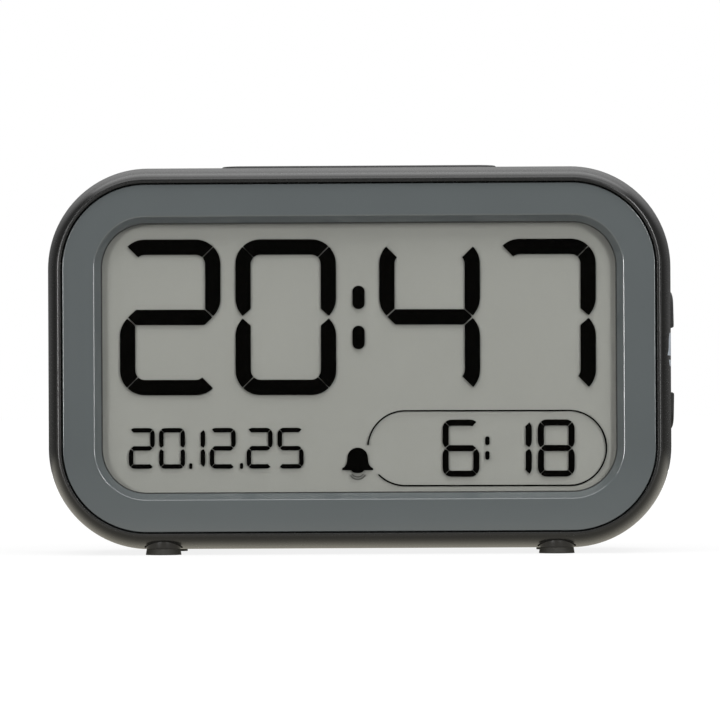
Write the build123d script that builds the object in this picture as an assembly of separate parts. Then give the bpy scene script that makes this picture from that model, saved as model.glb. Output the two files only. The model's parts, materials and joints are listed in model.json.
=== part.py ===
from build123d import *
import math
import os

# Driving dimensions in millimetres.
# Depth runs back from the front rim, and inset runs in from the case's widest outline.

# Case
case_width = 128.0
case_height = 78.0
case_depth = 46.0
corner_radius = 20.6
wall = 2.2
front_swell_depth = 12.0
front_swell_inset = 2.7
rear_swell_depth = 12.0
rear_swell_inset = 6.0
split_depth = 28.0
rim_flat = 0.15
rim_slope_inset = 0.5
rim_slope_depth = 0.7
lap_length = 2.0
lap_thickness = 1.0
lap_gap = 0.1

# Feet
foot_height = 1.15
foot_radius = 3.55
foot_flare = 0.1
foot_socket_gap = 0.4
foot_socket_depth = 2.0
foot_pad_reach = 0.4
foot_pad_thickness = 1.1
foot_spread = 80.8
front_foot_depth = 5.0
rear_foot_depth = 34.0

# Bezel and display stack
bezel_gap = 0.2
bezel_face = 6.5
bezel_chamfer = 1.45
bezel_lip = 0.25
bezel_edge = 0.25
skirt = 1.2
tape_thickness = 0.1
tape_margin = 0.4
lens_overlap = 2.0
lens_thickness = 0.9
polariser_thickness = 0.15
glass_thickness = 0.6
reflector_thickness = 0.2
guide_thickness = 2.6
stack_gap = 0.1
lcd_side_margin = 0.4
lcd_end_margin = 1.1
contact_ledge = 1.0
contact_strip_width = 0.8
contact_strip_margin = 2.9
holder_gap = 0.2
holder_side = 1.7
led_width = 3.6
led_height = 2.2
led_depth = 1.2

# Main board and what it carries
flange_thickness = 1.6
flange_reach = 0.5
board_thickness = 1.6
board_edge_gap = 1.1
bezel_boss_radius = 2.0
bezel_boss_spacing = 28.0
bezel_boss_bite = 0.1
chip_radius = 7.0
chip_height = 1.8
chip_place = (-12.0, -4.0)
crystal_radius = 1.0
crystal_length = 6.0
crystal_place = (-12.0, 8.0)
capacitor_radius = 2.5
capacitor_height = 7.0
capacitor_edge = 0.5
capacitor_place = (18.0, 8.0)

# Screws
small_screw_radius = 1.0
small_screw_length = 4.0
small_head_radius = 1.9
small_head_height = 1.3
case_screw_radius = 1.3
case_screw_length = 12.0
case_head_radius = 2.3
case_head_height = 1.8
screw_gap = 0.05
pilot_extra = 1.0

# Case screw bosses
case_boss_radius = 3.2
case_boss_bite = 0.4
screw_seat = 3.0
counterbore_gap = 0.3

# Keys and the push switches under them
key_gap = 0.3
key_seat_gap = 0.05
key_flange = 1.0
key_flange_reach = 1.1
key_travel = 0.6
stem_length = 0.8
stem_radius = 1.5
plunger_radius = 1.2
plunger_reach = 1.2
plunger_sunk = 0.6
plunger_gap = 0.3
plunger_bore_extra = 0.4
switch_side = 4.5
switch_height = 3.4
terminal_width = 0.7
terminal_reach = 0.7
terminal_thickness = 0.3
small_board_thickness = 1.2
small_boss_radius = 2.2
small_boss_bite = 0.6

# Snooze bar
bar_length = 56.0
bar_depth = 13.0
bar_corner = 4.5
bar_rise = 0.75
bar_edge = 0.5
bar_wall = 1.6
bar_centre_depth = 18.6
bar_switch_spacing = 30.0
bar_rib = 1.0
snooze_board_depth = 9.0
snooze_boss_margin = 4.6

# Side keys
side_key_width = 7.0
side_key_height = 7.6
side_key_rise = 0.9
side_key_slope = 0.1
side_key_ramp = 2.7
side_key_chamfer = 0.3
side_key_share = 0.565
side_key_drop = 0.8
side_key_depth = 14.5
side_board_width = 5.8
side_boss_gap = 1.0

# Rear control panel
panel_width = 64.0
panel_height = 13.0
panel_corner = 4.0
panel_recess = 0.8
panel_centre_share = -0.25
panel_rise = 19.0
rear_key_width = 8.0
rear_key_height = 5.0
rear_key_corner = 1.8
rear_key_gap = 0.5
rear_key_share = 0.22
slider_share = 0.22
slider_width = 4.0
slider_height = 3.0
slider_travel = 3.0
slider_flange_height = 6.0
slider_grooves = 3
slider_body_width = 10.0
slider_body_depth = 3.6
slider_lever = 1.5
slider_lever_sunk = 0.8
rear_board_margin = 3.0
rear_board_height = 13.0

# Buzzer
buzzer_share = 0.58
buzzer_radius = 10.0
buzzer_seat = 1.0
buzzer_rim = 1.4
buzzer_stand = 2.5
buzzer_lip = 1.0
buzzer_disc_thickness = 0.25
ceramic_radius = 7.0
ceramic_thickness = 0.2
sound_slots = 5
sound_slot_width = 1.2
sound_slot_pitch = 3.0

# Battery compartment
cell_radius = 7.1
cell_length = 50.2
cell_nub_radius = 2.7
cell_nub_height = 1.2
cell_edge = 0.8
cell_spacing = 15.0
cell_gap = 0.5
contact_thickness = 0.4
contact_width = 11.0
contact_depth = 11.0
contact_gap = 0.05
tab_width = 3.0
tab_length = 3.5
spring_room = 5.7
spring_wire_radius = 0.4
spring_base_radius = 4.2
spring_tip_radius = 2.7
spring_turns = 3.5
compartment_wall = 1.6
compartment_drop = 11.5

# Battery door
door_thickness = 2.0
door_lap = 2.5
door_gap = 0.25
door_corner = 2.0
ledge_thickness = 1.8
ledge_reach = 2.0
hinge_tab_thickness = 0.95
hinge_tab_gap = 0.15
hinge_tab_root = 1.0
hinge_tab_reach = 2.0
hinge_tab_width = 6.0
hinge_tab_spacing = 36.0
hinge_lip = 0.85
hinge_offset = 0.1
hinge_chamfer_gap = 0.15
latch_width = 10.0
latch_thickness = 1.0
latch_depth = 3.0
latch_bend = 0.75
latch_barb = 0.4
latch_room = 1.3
catch_gap = 0.55
catch_thickness = 0.8
door_rib_height = 2.0
door_rib_length = 40.0

# Cables
lead_radius = 0.6
buzzer_lead_radius = 0.5
ribbon_thickness = 0.8
ribbon_width = 6.0
cable_bend = 2.5
lead_straight_share = 0.34
lead_slope_share = 0.28
snooze_ribbon_drop = 8.0
side_ribbon_reach = 6.0
rear_ribbon_straight_share = 0.22
rear_ribbon_slope_share = 0.3
rear_ribbon_drop = 6.0
buzzer_lead_spacing = 4.0
buzzer_lead_inset = 2.0

# Places worked out from the driving dimensions
front_y = -case_depth / 2
middle_z = foot_height + case_height / 2
top_z = foot_height + case_height
half_width = case_width / 2
half_height = case_height / 2
inner_x = half_width - wall
inner_top_z = top_z - wall

rim_inner = front_swell_inset + rim_flat + rim_slope_inset
bezel_inset = rim_inner + bezel_gap
window_inset = bezel_inset + bezel_face
opening_inset = window_inset + bezel_chamfer
skirt_inner = bezel_inset + skirt
plate_back = rim_slope_depth + bezel_chamfer + bezel_lip
lens_front = plate_back + tape_thickness
lens_back = lens_front + lens_thickness
polariser_front = lens_back + stack_gap
glass_front = polariser_front + polariser_thickness
glass_split = glass_front + glass_thickness
glass_back = glass_split + glass_thickness
guide_front = glass_back + reflector_thickness
board_front = guide_front + guide_thickness + stack_gap
board_back = board_front + board_thickness
flange_front = board_front - flange_thickness
flange_inset = skirt_inner + flange_reach
lcd_width = 2 * (half_width - opening_inset + lcd_side_margin)
lcd_height = 2 * (half_height - opening_inset + lcd_end_margin)
rear_glass_height = lcd_height - 2 * contact_ledge
contact_strip_length = lcd_width - 2 * contact_strip_margin
bezel_boss_x = half_width - skirt_inner - bezel_boss_radius + bezel_boss_bite

back_inner = case_depth - wall
corner_x = half_width - corner_radius
corner_z = half_height - corner_radius
boss_reach = (corner_radius - wall - case_boss_radius + case_boss_bite) * math.sqrt(0.5)
case_boss_spots = [
    (side * (corner_x + boss_reach), level * (corner_z + boss_reach)) for side in (-1, 1) for level in (-1, 1)
]
counterbore_radius = case_head_radius + counterbore_gap
post_front = split_depth - lap_length
screw_seat_depth = split_depth + screw_seat

key_stack = key_seat_gap + key_flange + stem_length + plunger_reach + switch_height
plunger_bore_depth = plunger_sunk + key_travel + plunger_bore_extra
snooze_board_top = inner_top_z - key_stack
snooze_boss_x = bar_length / 2 + snooze_boss_margin
side_board_face = inner_x - key_stack
side_key_middle = middle_z - side_key_drop
side_key_spacing = side_key_share * (case_height - 2 * corner_radius)
side_boss_margin = side_key_height / 2 + key_flange_reach + side_boss_gap + small_boss_radius
side_boss_spacing = side_key_spacing + 2 * side_boss_margin
rear_board_back = back_inner - key_stack
panel_z = middle_z + panel_rise
panel_floor = case_depth - panel_recess
panel_centre = panel_centre_share * half_width
buzzer_place = buzzer_share * half_width
rear_boss_reach = panel_width / 2 - small_boss_radius
rear_boss_x = [panel_centre - rear_boss_reach, panel_centre + rear_boss_reach]
rear_key_margin = small_boss_radius + rear_key_gap + key_flange_reach + rear_key_width / 2
time_key_place = rear_key_margin - rear_boss_reach
rear_key_places = (time_key_place, time_key_place + rear_key_share * panel_width)
slider_place = slider_share * panel_width

cavity_length = cell_length + spring_room + 2 * contact_thickness + 2 * contact_gap
cavity_height = cell_spacing + 2 * cell_radius + 2 * cell_gap
cavity_back = case_depth - door_thickness
cell_depth = cavity_back - cell_gap - cell_radius
cavity_front = cell_depth - cell_radius - cell_gap
compartment_z = middle_z - compartment_drop
contact_x = cavity_length / 2 - contact_thickness
door_width = cavity_length + 2 * door_lap
door_height = cavity_height + 2 * door_lap
door_bottom = compartment_z - door_height / 2
door_top = compartment_z + door_height / 2
hinge_depth = case_depth - hinge_lip - hinge_offset
hinge_z = door_bottom - door_gap
spring_start = contact_x - spring_wire_radius - contact_gap
spring_height = spring_room - 2 * spring_wire_radius - 2 * contact_gap

FACE = Plane(origin=(0, front_y, middle_z), x_dir=(1, 0, 0), z_dir=(0, -1, 0))


def depth(distance):
    """Y of a plane this far behind the front rim."""
    return front_y + distance


def outline(inset):
    """Rounded outline of the case, this far inside its widest section."""
    return RectangleRounded(case_width - 2 * inset, case_height - 2 * inset, corner_radius - inset)


def slab(sketch, front, back):
    """Front-view sketch, centred on the case, made solid between two depths."""
    return extrude(FACE.offset(-back) * sketch, back - front)


def column(sketch, low, high):
    """Plan sketch made solid between two heights."""
    return extrude(Plane.XY.offset(low) * sketch, high - low)


def beam(sketch, left, right):
    """Side-view sketch, in y and z, made solid between two x places."""
    return extrude(Plane.YZ.offset(left) * sketch, right - left)


def ring(section):
    """Section drawn in depth and inset, carried once round the case outline."""
    path = (FACE * outline(0)).wire()
    plane = Plane(origin=path @ 0, x_dir=(0, 1, 0), z_dir=path % 0)
    return sweep(plane * section, path=path)


def rounded_corner(section, corner, radius):
    """Section with the vertex nearest a corner rounded."""
    return fillet(section.vertices().sort_by_distance((*corner, 0))[0], radius)


def union(shapes):
    """All shapes of a list joined."""
    shapes = list(shapes)
    return shapes[0].fuse(*shapes[1:]) if len(shapes) > 1 else shapes[0]


def group(shapes):
    """Separate solids kept in one node."""
    return Compound(children=[solid for shape in shapes for solid in shape.solids()])


def screw(radius, length, head_radius, head_height):
    """Pan-head screw with a cross recess, head up, shank below z = 0."""
    head = Pos(0, 0, head_height / 2) * Cylinder(head_radius, head_height)
    head = fillet(head.edges().group_by(Axis.Z)[-1], head_height * 0.4)
    shank = Pos(0, 0, -length / 2) * Cylinder(radius, length)
    slot = Box(head_radius * 1.2, head_radius * 0.36, head_height)
    cross = Pos(0, 0, head_height) * (slot + Rot(0, 0, 90) * slot)
    return head + shank - cross


def small_screw():
    """Screw that holds a board to its bosses."""
    return screw(small_screw_radius, small_screw_length, small_head_radius, small_head_height)


def push_switch():
    """Push switch standing on z = 0, with its terminals and the bore for its plunger."""
    body = Pos(0, 0, switch_height / 2) * Box(switch_side, switch_side, switch_height)
    bore = Pos(0, 0, switch_height - plunger_bore_depth / 2) * Cylinder(
        plunger_radius + plunger_gap, plunger_bore_depth
    )
    leads = Box(terminal_width, switch_side + 2 * terminal_reach, terminal_thickness)
    spots = [Pos(side * switch_side / 4, 0, terminal_thickness / 2) for side in (-1, 1)]
    return union([body] + [spot * leads for spot in spots]) - bore


def plunger():
    """Plunger of a push switch, whose outer end is on z = 0 with its length below."""
    length = plunger_reach + plunger_sunk
    return Pos(0, 0, -length / 2) * Cylinder(plunger_radius, length)


def board_boss():
    """Boss for a small board, whose seat is z = 0 and whose root bites into a wall below."""
    length = key_stack + small_boss_bite
    boss = Pos(0, 0, -length / 2) * Cylinder(small_boss_radius, length)
    pilot = Pos(0, 0, -pilot_depth / 2) * Cylinder(small_screw_radius + screw_gap, pilot_depth)
    return boss - pilot


def cable(points, plane, profile):
    """Cable whose route is drawn on a plane with rounded bends."""
    route = plane * FilletPolyline(*points, radius=cable_bend)
    start = Plane(origin=route @ 0, x_dir=plane.z_dir, z_dir=route % 0)
    return sweep(start * profile, path=route)


pilot_depth = small_screw_length - small_board_thickness + pilot_extra
main_pilot_depth = small_screw_length - board_thickness + pilot_extra
lead_profile = Circle(lead_radius)
ribbon_profile = Rectangle(ribbon_width, ribbon_thickness)


# Case


def foot_spots(distance):
    """Places of a pair of feet at a depth, in x and y."""
    return [Pos(side * foot_spread / 2, depth(distance), 0) for side in (-1, 1)]


def foot_pads(distance):
    """Thicker wall above each foot socket."""
    low = foot_height + foot_socket_depth
    pad = column(Circle(foot_radius + foot_socket_gap + foot_pad_reach), low, low + foot_pad_thickness)
    return [spot * pad for spot in foot_spots(distance)]


def foot_sockets(distance):
    """Round sockets for a pair of feet."""
    socket = column(Circle(foot_radius + foot_socket_gap), -foot_height, foot_height + foot_socket_depth)
    return [spot * socket for spot in foot_spots(distance)]


def front_section():
    """Front case wall: swelling outside, rim, bezel pocket, display flange and rear rebate."""
    centre = (front_swell_depth, front_swell_inset)
    swell = EllipticalCenterArc(centre, front_swell_depth, front_swell_inset, start_angle=180, arc_size=90)
    rebate = wall - lap_thickness - lap_gap
    corners = Polyline(
        (front_swell_depth, 0),
        (split_depth, 0),
        (split_depth, rebate),
        (split_depth - lap_length - lap_gap, rebate),
        (split_depth - lap_length - lap_gap, wall),
        (board_front, wall),
        (board_front, flange_inset),
        (flange_front, flange_inset),
        (flange_front, rim_inner),
        (rim_slope_depth, rim_inner),
        (0, rim_inner - rim_slope_inset),
        (0, front_swell_inset),
    )
    return make_face([*corners.edges(), *swell.edges()])


def bezel_boss_spots():
    """Front-view places of the bezel's screw bosses."""
    return [
        Pos(side * bezel_boss_x, level * bezel_boss_spacing / 2) for side in (-1, 1) for level in (-1, 1)
    ]


def side_key_sketch(grow):
    """Upper side key seen from the side, flat below and round above."""
    straight = side_key_height - side_key_width / 2
    flat = Pos(0, straight / 2) * Rectangle(side_key_width, straight)
    shape = flat + Pos(0, straight) * Circle(side_key_width / 2)
    low = side_key_middle + side_key_spacing / 2 - side_key_height / 2
    placed = Pos(depth(side_key_depth), low) * shape
    return offset(placed, grow) if grow else placed


def lower_twin(shape):
    """Mirror image of an upper side key's piece, for the lower key."""
    return mirror(shape, about=Plane.XY.offset(side_key_middle))


def side_boss_plane(level):
    """Plane on the side board's mounting face at one of its bosses, facing in."""
    spot = (side_board_face, depth(side_key_depth), side_key_middle + level * side_boss_spacing / 2)
    return Plane(origin=spot, z_dir=(-1, 0, 0))


def snooze_boss_plane(side):
    """Plane on the snooze board's mounting face at one of its bosses, facing down."""
    spot = (side * snooze_boss_x, depth(bar_centre_depth), snooze_board_top)
    return Plane(origin=spot, z_dir=(0, 0, -1))


def front_case():
    """Front shell with bosses for the rear cover, snooze board and side board."""
    shell = ring(front_section())
    corner_boss = Circle(case_boss_radius)
    bosses = [slab(Pos(*spot) * corner_boss, board_front, post_front) for spot in case_boss_spots]
    bosses += [side_boss_plane(level) * board_boss() for level in (-1, 1)]
    bosses += [snooze_boss_plane(side) * board_boss() for side in (-1, 1)]
    shell = union([shell, *bosses, *foot_pads(front_foot_depth)])
    pilot_front = screw_seat_depth - case_screw_length - pilot_extra
    pilot = Circle(case_screw_radius + screw_gap)
    cuts = [slab(Pos(*spot) * pilot, pilot_front, post_front) for spot in case_boss_spots]
    cuts += foot_sockets(front_foot_depth)
    notch = Circle(bezel_boss_radius + key_gap)
    cuts += [slab(spot * notch, flange_front, board_front) for spot in bezel_boss_spots()]
    bar_hole = RectangleRounded(bar_length + 2 * key_gap, bar_depth + 2 * key_gap, bar_corner + key_gap)
    cuts.append(column(Pos(0, depth(bar_centre_depth)) * bar_hole, inner_top_z - wall, top_z + wall))
    key_hole = beam(side_key_sketch(key_gap), inner_x - wall, half_width + wall)
    cuts += [key_hole, lower_twin(key_hole)]
    return shell.cut(*cuts)


def rear_swell(inward):
    """Quarter round from the side into the back, this far inside the outer face."""
    centre = (case_depth - rear_swell_depth, rear_swell_inset)
    return EllipticalCenterArc(
        centre, rear_swell_depth - inward, rear_swell_inset - inward, start_angle=270, arc_size=90
    )


def rear_envelope():
    """Outer form of the rear cover and its tongue, filled in round the corners."""
    fill = corner_radius - wall
    corners = Polyline(
        (case_depth, rear_swell_inset),
        (case_depth, fill),
        (post_front, fill),
        (post_front, wall - lap_thickness),
        (split_depth, wall - lap_thickness),
        (split_depth, 0),
        (case_depth - rear_swell_depth, 0),
    )
    return ring(make_face([*corners.edges(), *rear_swell(0).edges()]))


def rear_section():
    """Rear cover wall: lap tongue, straight side and the round into the back."""
    join = rear_swell_inset + 2 * wall
    back = Polyline(
        (case_depth, rear_swell_inset), (case_depth, join), (back_inner, join), (back_inner, rear_swell_inset)
    )
    tongue = Polyline(
        (case_depth - rear_swell_depth, wall),
        (split_depth - lap_length, wall),
        (split_depth - lap_length, wall - lap_thickness),
        (split_depth, wall - lap_thickness),
        (split_depth, 0),
        (case_depth - rear_swell_depth, 0),
    )
    return make_face([*rear_swell(0).edges(), *back.edges(), *rear_swell(wall).edges(), *tongue.edges()])


def compartment_sketch(width, height, corner):
    """Rounded rectangle centred on the battery compartment."""
    return Pos(0, compartment_z - middle_z) * RectangleRounded(width, height, corner)


def door_sketch(grow):
    """Battery door seen from behind: round above, and square along its hinge."""
    width = door_width + 2 * grow
    height = door_height + 2 * grow
    lower_half = Pos(0, compartment_z - middle_z - height / 4) * Rectangle(width, height / 2)
    return compartment_sketch(width, height, door_corner + grow) + lower_half


def panel_spot(x):
    """Front-view place on the control panel's centre line."""
    return Pos(panel_centre + x, panel_rise)


def rear_key_sketch(grow):
    """Rear key seen from behind."""
    return RectangleRounded(rear_key_width + 2 * grow, rear_key_height + 2 * grow, rear_key_corner + grow)


def rear_boss_plane(x):
    """Plane on the rear board's mounting face at one of its bosses, facing forward."""
    return Plane(origin=(x, depth(rear_board_back), panel_z), z_dir=(0, -1, 0))


def latch_box(grow, front, back, low, high):
    """Block across the door latch, in depth and height above the door's top edge."""
    sketch = Pos(0, door_top + (low + high) / 2 - middle_z) * Rectangle(latch_width + 2 * grow, high - low)
    return slab(sketch, front, back)


def hinge_slots():
    """Room behind the lower lip in which the door's hinge tabs turn."""
    low = hinge_z - hinge_tab_reach - door_gap
    high = hinge_z + hinge_tab_thickness
    room = Rectangle(hinge_tab_width + 2 * door_gap, high - low)
    sketch = Pos(0, (low + high) / 2 - middle_z) * room
    slot = slab(sketch, cavity_back - hinge_tab_reach - door_gap, case_depth - hinge_lip)
    return [Pos(side * hinge_tab_spacing / 2, 0, 0) * slot for side in (-1, 1)]


def latch_pocket():
    """Room for the door latch, with the catch rib left standing."""
    leg_low = -(2 * latch_thickness + 2 * latch_bend) - latch_barb
    front = cavity_back - latch_depth - latch_bend - latch_thickness - door_gap
    pocket = latch_box(door_gap, front, case_depth, leg_low, latch_room)
    catch = latch_box(
        door_gap, cavity_back - catch_thickness, cavity_back, catch_gap, latch_room + latch_thickness
    )
    return pocket - catch


def compartment():
    """Battery compartment walls, door ledge and latch housing, before they are hollowed."""
    outer = compartment_sketch(
        cavity_length + 2 * compartment_wall, cavity_height + 2 * compartment_wall, door_corner
    )
    ledge = compartment_sketch(door_width + 2 * ledge_reach, door_height + 2 * ledge_reach, door_corner)
    house_front = cavity_back - latch_depth - latch_bend - latch_thickness - door_gap - compartment_wall
    house = latch_box(
        door_gap + compartment_wall,
        house_front,
        back_inner,
        -door_lap - compartment_wall,
        latch_room + compartment_wall,
    )
    return [
        slab(outer, cavity_front - compartment_wall, back_inner),
        slab(ledge, cavity_back - ledge_thickness, back_inner),
        house,
    ]


def compartment_cuts():
    """Cavity, door recess, hinge slots, latch room and the slits for the terminals' tabs."""
    cavity = slab(compartment_sketch(cavity_length, cavity_height, cell_gap), cavity_front, case_depth)
    slit_sketch = Rectangle(contact_thickness + 2 * contact_gap, tab_width + 2 * contact_gap)
    slit_x = contact_x + contact_thickness / 2
    level = compartment_z - middle_z
    slits = [
        slab(
            Pos(slit_x, level + side * cell_spacing / 2) * slit_sketch,
            cavity_front - compartment_wall,
            cavity_front,
        )
        for side in (-1, 1)
    ]
    recess = slab(door_sketch(door_gap), cavity_back, case_depth)
    return [cavity, recess, *hinge_slots(), latch_pocket(), *slits]


def buzzer_seat_ring():
    """Stepped ring that carries the buzzer disc off the back wall."""
    spot = Pos(buzzer_place, panel_rise)
    outer = Circle(buzzer_radius + key_gap + buzzer_rim)
    step = back_inner - buzzer_stand
    ring_body = slab(spot * (outer - Circle(buzzer_radius - buzzer_seat)), step, back_inner)
    lip = slab(spot * (outer - Circle(buzzer_radius + key_gap)), step - buzzer_lip, step)
    return [ring_body, lip]


def sound_slot_cuts():
    """Sound slots through the back wall, shortened to the buzzer's circle."""
    reach = buzzer_radius - 2 * buzzer_seat
    rows = [(index - (sound_slots - 1) / 2) * sound_slot_pitch for index in range(sound_slots)]
    cuts = []
    for row in rows:
        length = 2 * math.sqrt(reach**2 - row**2)
        sketch = Pos(buzzer_place, panel_rise + row) * SlotOverall(length, sound_slot_width)
        cuts.append(slab(sketch, back_inner, case_depth))
    return cuts


def slider_slot_width():
    """Length of the slot in which the alarm knob travels."""
    return slider_width + slider_travel + 2 * key_gap


def panel_cuts():
    """Recess of the control panel with its key holes and the knob's slot."""
    recess = Pos(panel_centre, panel_rise) * RectangleRounded(panel_width, panel_height, panel_corner)
    cuts = [slab(recess, panel_floor, case_depth)]
    holes = [panel_spot(x) * rear_key_sketch(key_gap) for x in rear_key_places]
    holes.append(panel_spot(slider_place) * Rectangle(slider_slot_width(), slider_height + 2 * key_gap))
    return cuts + [slab(hole, back_inner, case_depth) for hole in holes]


def rear_cover():
    """Back shell with screw posts, battery compartment, control panel and buzzer seat."""
    shell = ring(rear_section()) + slab(outline(rear_swell_inset + wall), back_inner, case_depth)
    post = Circle(counterbore_radius + wall / 2)
    envelope = rear_envelope()
    posts = [slab(Pos(*spot) * post, post_front, case_depth) & envelope for spot in case_boss_spots]
    board_bosses = [rear_boss_plane(x) * board_boss() for x in rear_boss_x]
    fittings = [*compartment(), *buzzer_seat_ring(), *foot_pads(rear_foot_depth), *board_bosses]
    shell = union([shell, *posts, *fittings])
    shank = Circle(case_screw_radius + screw_gap)
    cuts = [slab(Pos(*spot) * shank, post_front, case_depth) for spot in case_boss_spots]
    counterbore = Circle(counterbore_radius)
    cuts += [slab(Pos(*spot) * counterbore, screw_seat_depth, case_depth) for spot in case_boss_spots]
    cuts += foot_sockets(rear_foot_depth)
    cuts += compartment_cuts()
    cuts += panel_cuts()
    cuts += sound_slot_cuts()
    return shell.cut(*cuts)


def case_screws():
    """Four screws that draw the rear cover onto the front case."""
    body = screw(case_screw_radius, case_screw_length, case_head_radius, case_head_height)
    seat = depth(screw_seat_depth)
    planes = [Plane(origin=(x, seat, middle_z + z), z_dir=(0, 1, 0)) for x, z in case_boss_spots]
    return group(plane * body for plane in planes)


def rubber_feet():
    """Four feet that fill their sockets and flare a little at the table."""
    top = foot_height + foot_socket_depth
    foot = loft([Circle(foot_radius + foot_flare), Plane.XY.offset(top) * Circle(foot_radius)])
    return group(spot * foot for spot in foot_spots(front_foot_depth) + foot_spots(rear_foot_depth))


# Bezel and display


def bezel_section():
    """Bezel frame: flat face, inner chamfer, short lip and the skirt behind its edge."""
    face = rim_slope_depth
    section = make_face(
        Polyline(
            (face, bezel_inset),
            (face, window_inset),
            (face + bezel_chamfer, opening_inset),
            (plate_back, opening_inset),
            (plate_back, skirt_inner),
            (flange_front, skirt_inner),
            (flange_front, bezel_inset),
            close=True,
        ).edges()
    )
    section = rounded_corner(section, (face, bezel_inset), bezel_edge)
    return rounded_corner(section, (face, window_inset), bezel_edge)


def bezel():
    """Bezel frame with the four bosses that take the display screws."""
    boss = Circle(bezel_boss_radius)
    bosses = [slab(spot * boss, plate_back, board_front) for spot in bezel_boss_spots()]
    pilot = Circle(small_screw_radius + screw_gap)
    pilots = [slab(spot * pilot, board_front - main_pilot_depth, board_front) for spot in bezel_boss_spots()]
    return union([ring(bezel_section()), *bosses]).cut(*pilots)


def window_tape():
    """Adhesive frame between the bezel and the lens."""
    frame = outline(opening_inset - lens_overlap) - outline(opening_inset - tape_margin)
    return slab(frame, plate_back, lens_front)


def window_lens():
    """Clear window behind the bezel."""
    return slab(outline(opening_inset - lens_overlap), lens_front, lens_back)


def lcd_sheet(height, front, back):
    """One flat sheet of the display, of its full width."""
    return slab(Rectangle(lcd_width, height), front, back)


def lcd_holder():
    """Frame that holds the display and the light guide square to the board."""
    half = lcd_width / 2 + holder_gap + holder_side
    outer = outline(flange_inset + holder_gap) & Rectangle(2 * half, case_height)
    inner = Rectangle(lcd_width + 2 * holder_gap, lcd_height + 2 * holder_gap)
    led_notch = Rectangle(case_width, led_width + 2 * holder_gap)
    notches = slab(led_notch, board_front - led_height - holder_gap, board_front)
    return slab(outer - inner, polariser_front, board_front) - notches


def contact_strips():
    """Two soft strips that carry the signals from the board to the front glass."""
    level = rear_glass_height / 2 + contact_ledge / 2
    strip = Rectangle(contact_strip_length, contact_strip_width)
    return group(slab(Pos(0, side * level) * strip, glass_split, board_front) for side in (-1, 1))


def backlight_leds():
    """Side-firing lamps at both ends of the light guide."""
    spot = lcd_width / 2 + holder_gap + led_depth / 2
    lamp = Rectangle(led_depth, led_width)
    return group(slab(Pos(side * spot, 0) * lamp, board_front - led_height, board_front) for side in (-1, 1))


def main_board():
    """Main circuit board, notched round the case bosses and drilled for the display screws."""
    plate = slab(outline(wall + board_edge_gap), board_front, board_back)
    notch = Circle(case_boss_radius + key_gap)
    cuts = [slab(Pos(*spot) * notch, board_front, board_back) for spot in case_boss_spots]
    hole = Circle(small_screw_radius + screw_gap)
    cuts += [slab(spot * hole, board_front, board_back) for spot in bezel_boss_spots()]
    return plate.cut(*cuts)


def board_point(x, z):
    """Plane on the rear face of the main board, facing back."""
    return Plane(origin=(x, depth(board_back), middle_z + z), z_dir=(0, 1, 0))


def controller_chip():
    """Chip under a low dome of black resin."""
    radius = (chip_radius**2 + chip_height**2) / (2 * chip_height)
    ball = Pos(0, 0, chip_height - radius) * Sphere(radius)
    cap = ball & Pos(0, 0, chip_height / 2) * Box(4 * chip_radius, 4 * chip_radius, chip_height)
    return board_point(*chip_place) * cap


def quartz_crystal():
    """Crystal in its small can, lying on the board."""
    can = Rot(0, 90, 0) * Cylinder(crystal_radius, crystal_length)
    return board_point(*crystal_place) * Pos(0, 0, crystal_radius + contact_gap) * can


def capacitor():
    """Upright electrolytic capacitor."""
    can = Pos(0, 0, capacitor_height / 2) * Cylinder(capacitor_radius, capacitor_height)
    can = fillet(can.edges().group_by(Axis.Z)[-1], capacitor_edge)
    return board_point(*capacitor_place) * can


def display_screws():
    """Screws that clamp the main board, flange and bezel together."""
    spots = [(side * bezel_boss_x, level * bezel_boss_spacing / 2) for side in (-1, 1) for level in (-1, 1)]
    return group(board_point(x, z) * small_screw() for x, z in spots)


# Snooze bar


def snooze_bar():
    """Hollow bar with a retaining flange, two stems and their ribs."""
    place = Pos(0, depth(bar_centre_depth))
    flange_top = inner_top_z - key_seat_gap
    flange_low = flange_top - key_flange
    bar_top = top_z + bar_rise
    cap = column(place * RectangleRounded(bar_length, bar_depth, bar_corner), flange_low, bar_top)
    cap = fillet(cap.edges().group_by(Axis.Z)[-1], bar_edge)
    reach = 2 * key_flange_reach
    flange = place * RectangleRounded(bar_length + reach, bar_depth + reach, bar_corner + key_flange_reach)
    hollow = place * RectangleRounded(
        bar_length - 2 * bar_wall, bar_depth - 2 * bar_wall, bar_corner - bar_wall
    )
    body = cap + column(flange, flange_low, flange_top) - column(hollow, flange_low, bar_top - bar_wall)
    for side in (-1, 1):
        spot = Pos(side * bar_switch_spacing / 2, depth(bar_centre_depth))
        body += column(spot * Rectangle(bar_rib, bar_depth - bar_wall), flange_low, bar_top - bar_wall)
        body += column(spot * Circle(stem_radius), flange_low - stem_length, bar_top - bar_wall)
    return body


def snooze_switch_planes(height):
    """Planes on the two snooze switches' axes, facing up."""
    return [
        Plane(origin=(side * bar_switch_spacing / 2, depth(bar_centre_depth), height), z_dir=(0, 0, 1))
        for side in (-1, 1)
    ]


def snooze_plungers():
    """Plungers that ride with the bar."""
    top = inner_top_z - key_seat_gap - key_flange - stem_length
    return group(plane * plunger() for plane in snooze_switch_planes(top))


def snooze_switches():
    """Two push switches under the bar."""
    return group(plane * push_switch() for plane in snooze_switch_planes(snooze_board_top))


def snooze_board():
    """Narrow board under the top wall."""
    length = 2 * (snooze_boss_x + small_boss_radius)
    sketch = Pos(0, depth(bar_centre_depth)) * Rectangle(length, snooze_board_depth)
    for side in (-1, 1):
        sketch -= Pos(side * snooze_boss_x, depth(bar_centre_depth)) * Circle(small_screw_radius + screw_gap)
    return column(sketch, snooze_board_top - small_board_thickness, snooze_board_top)


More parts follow.
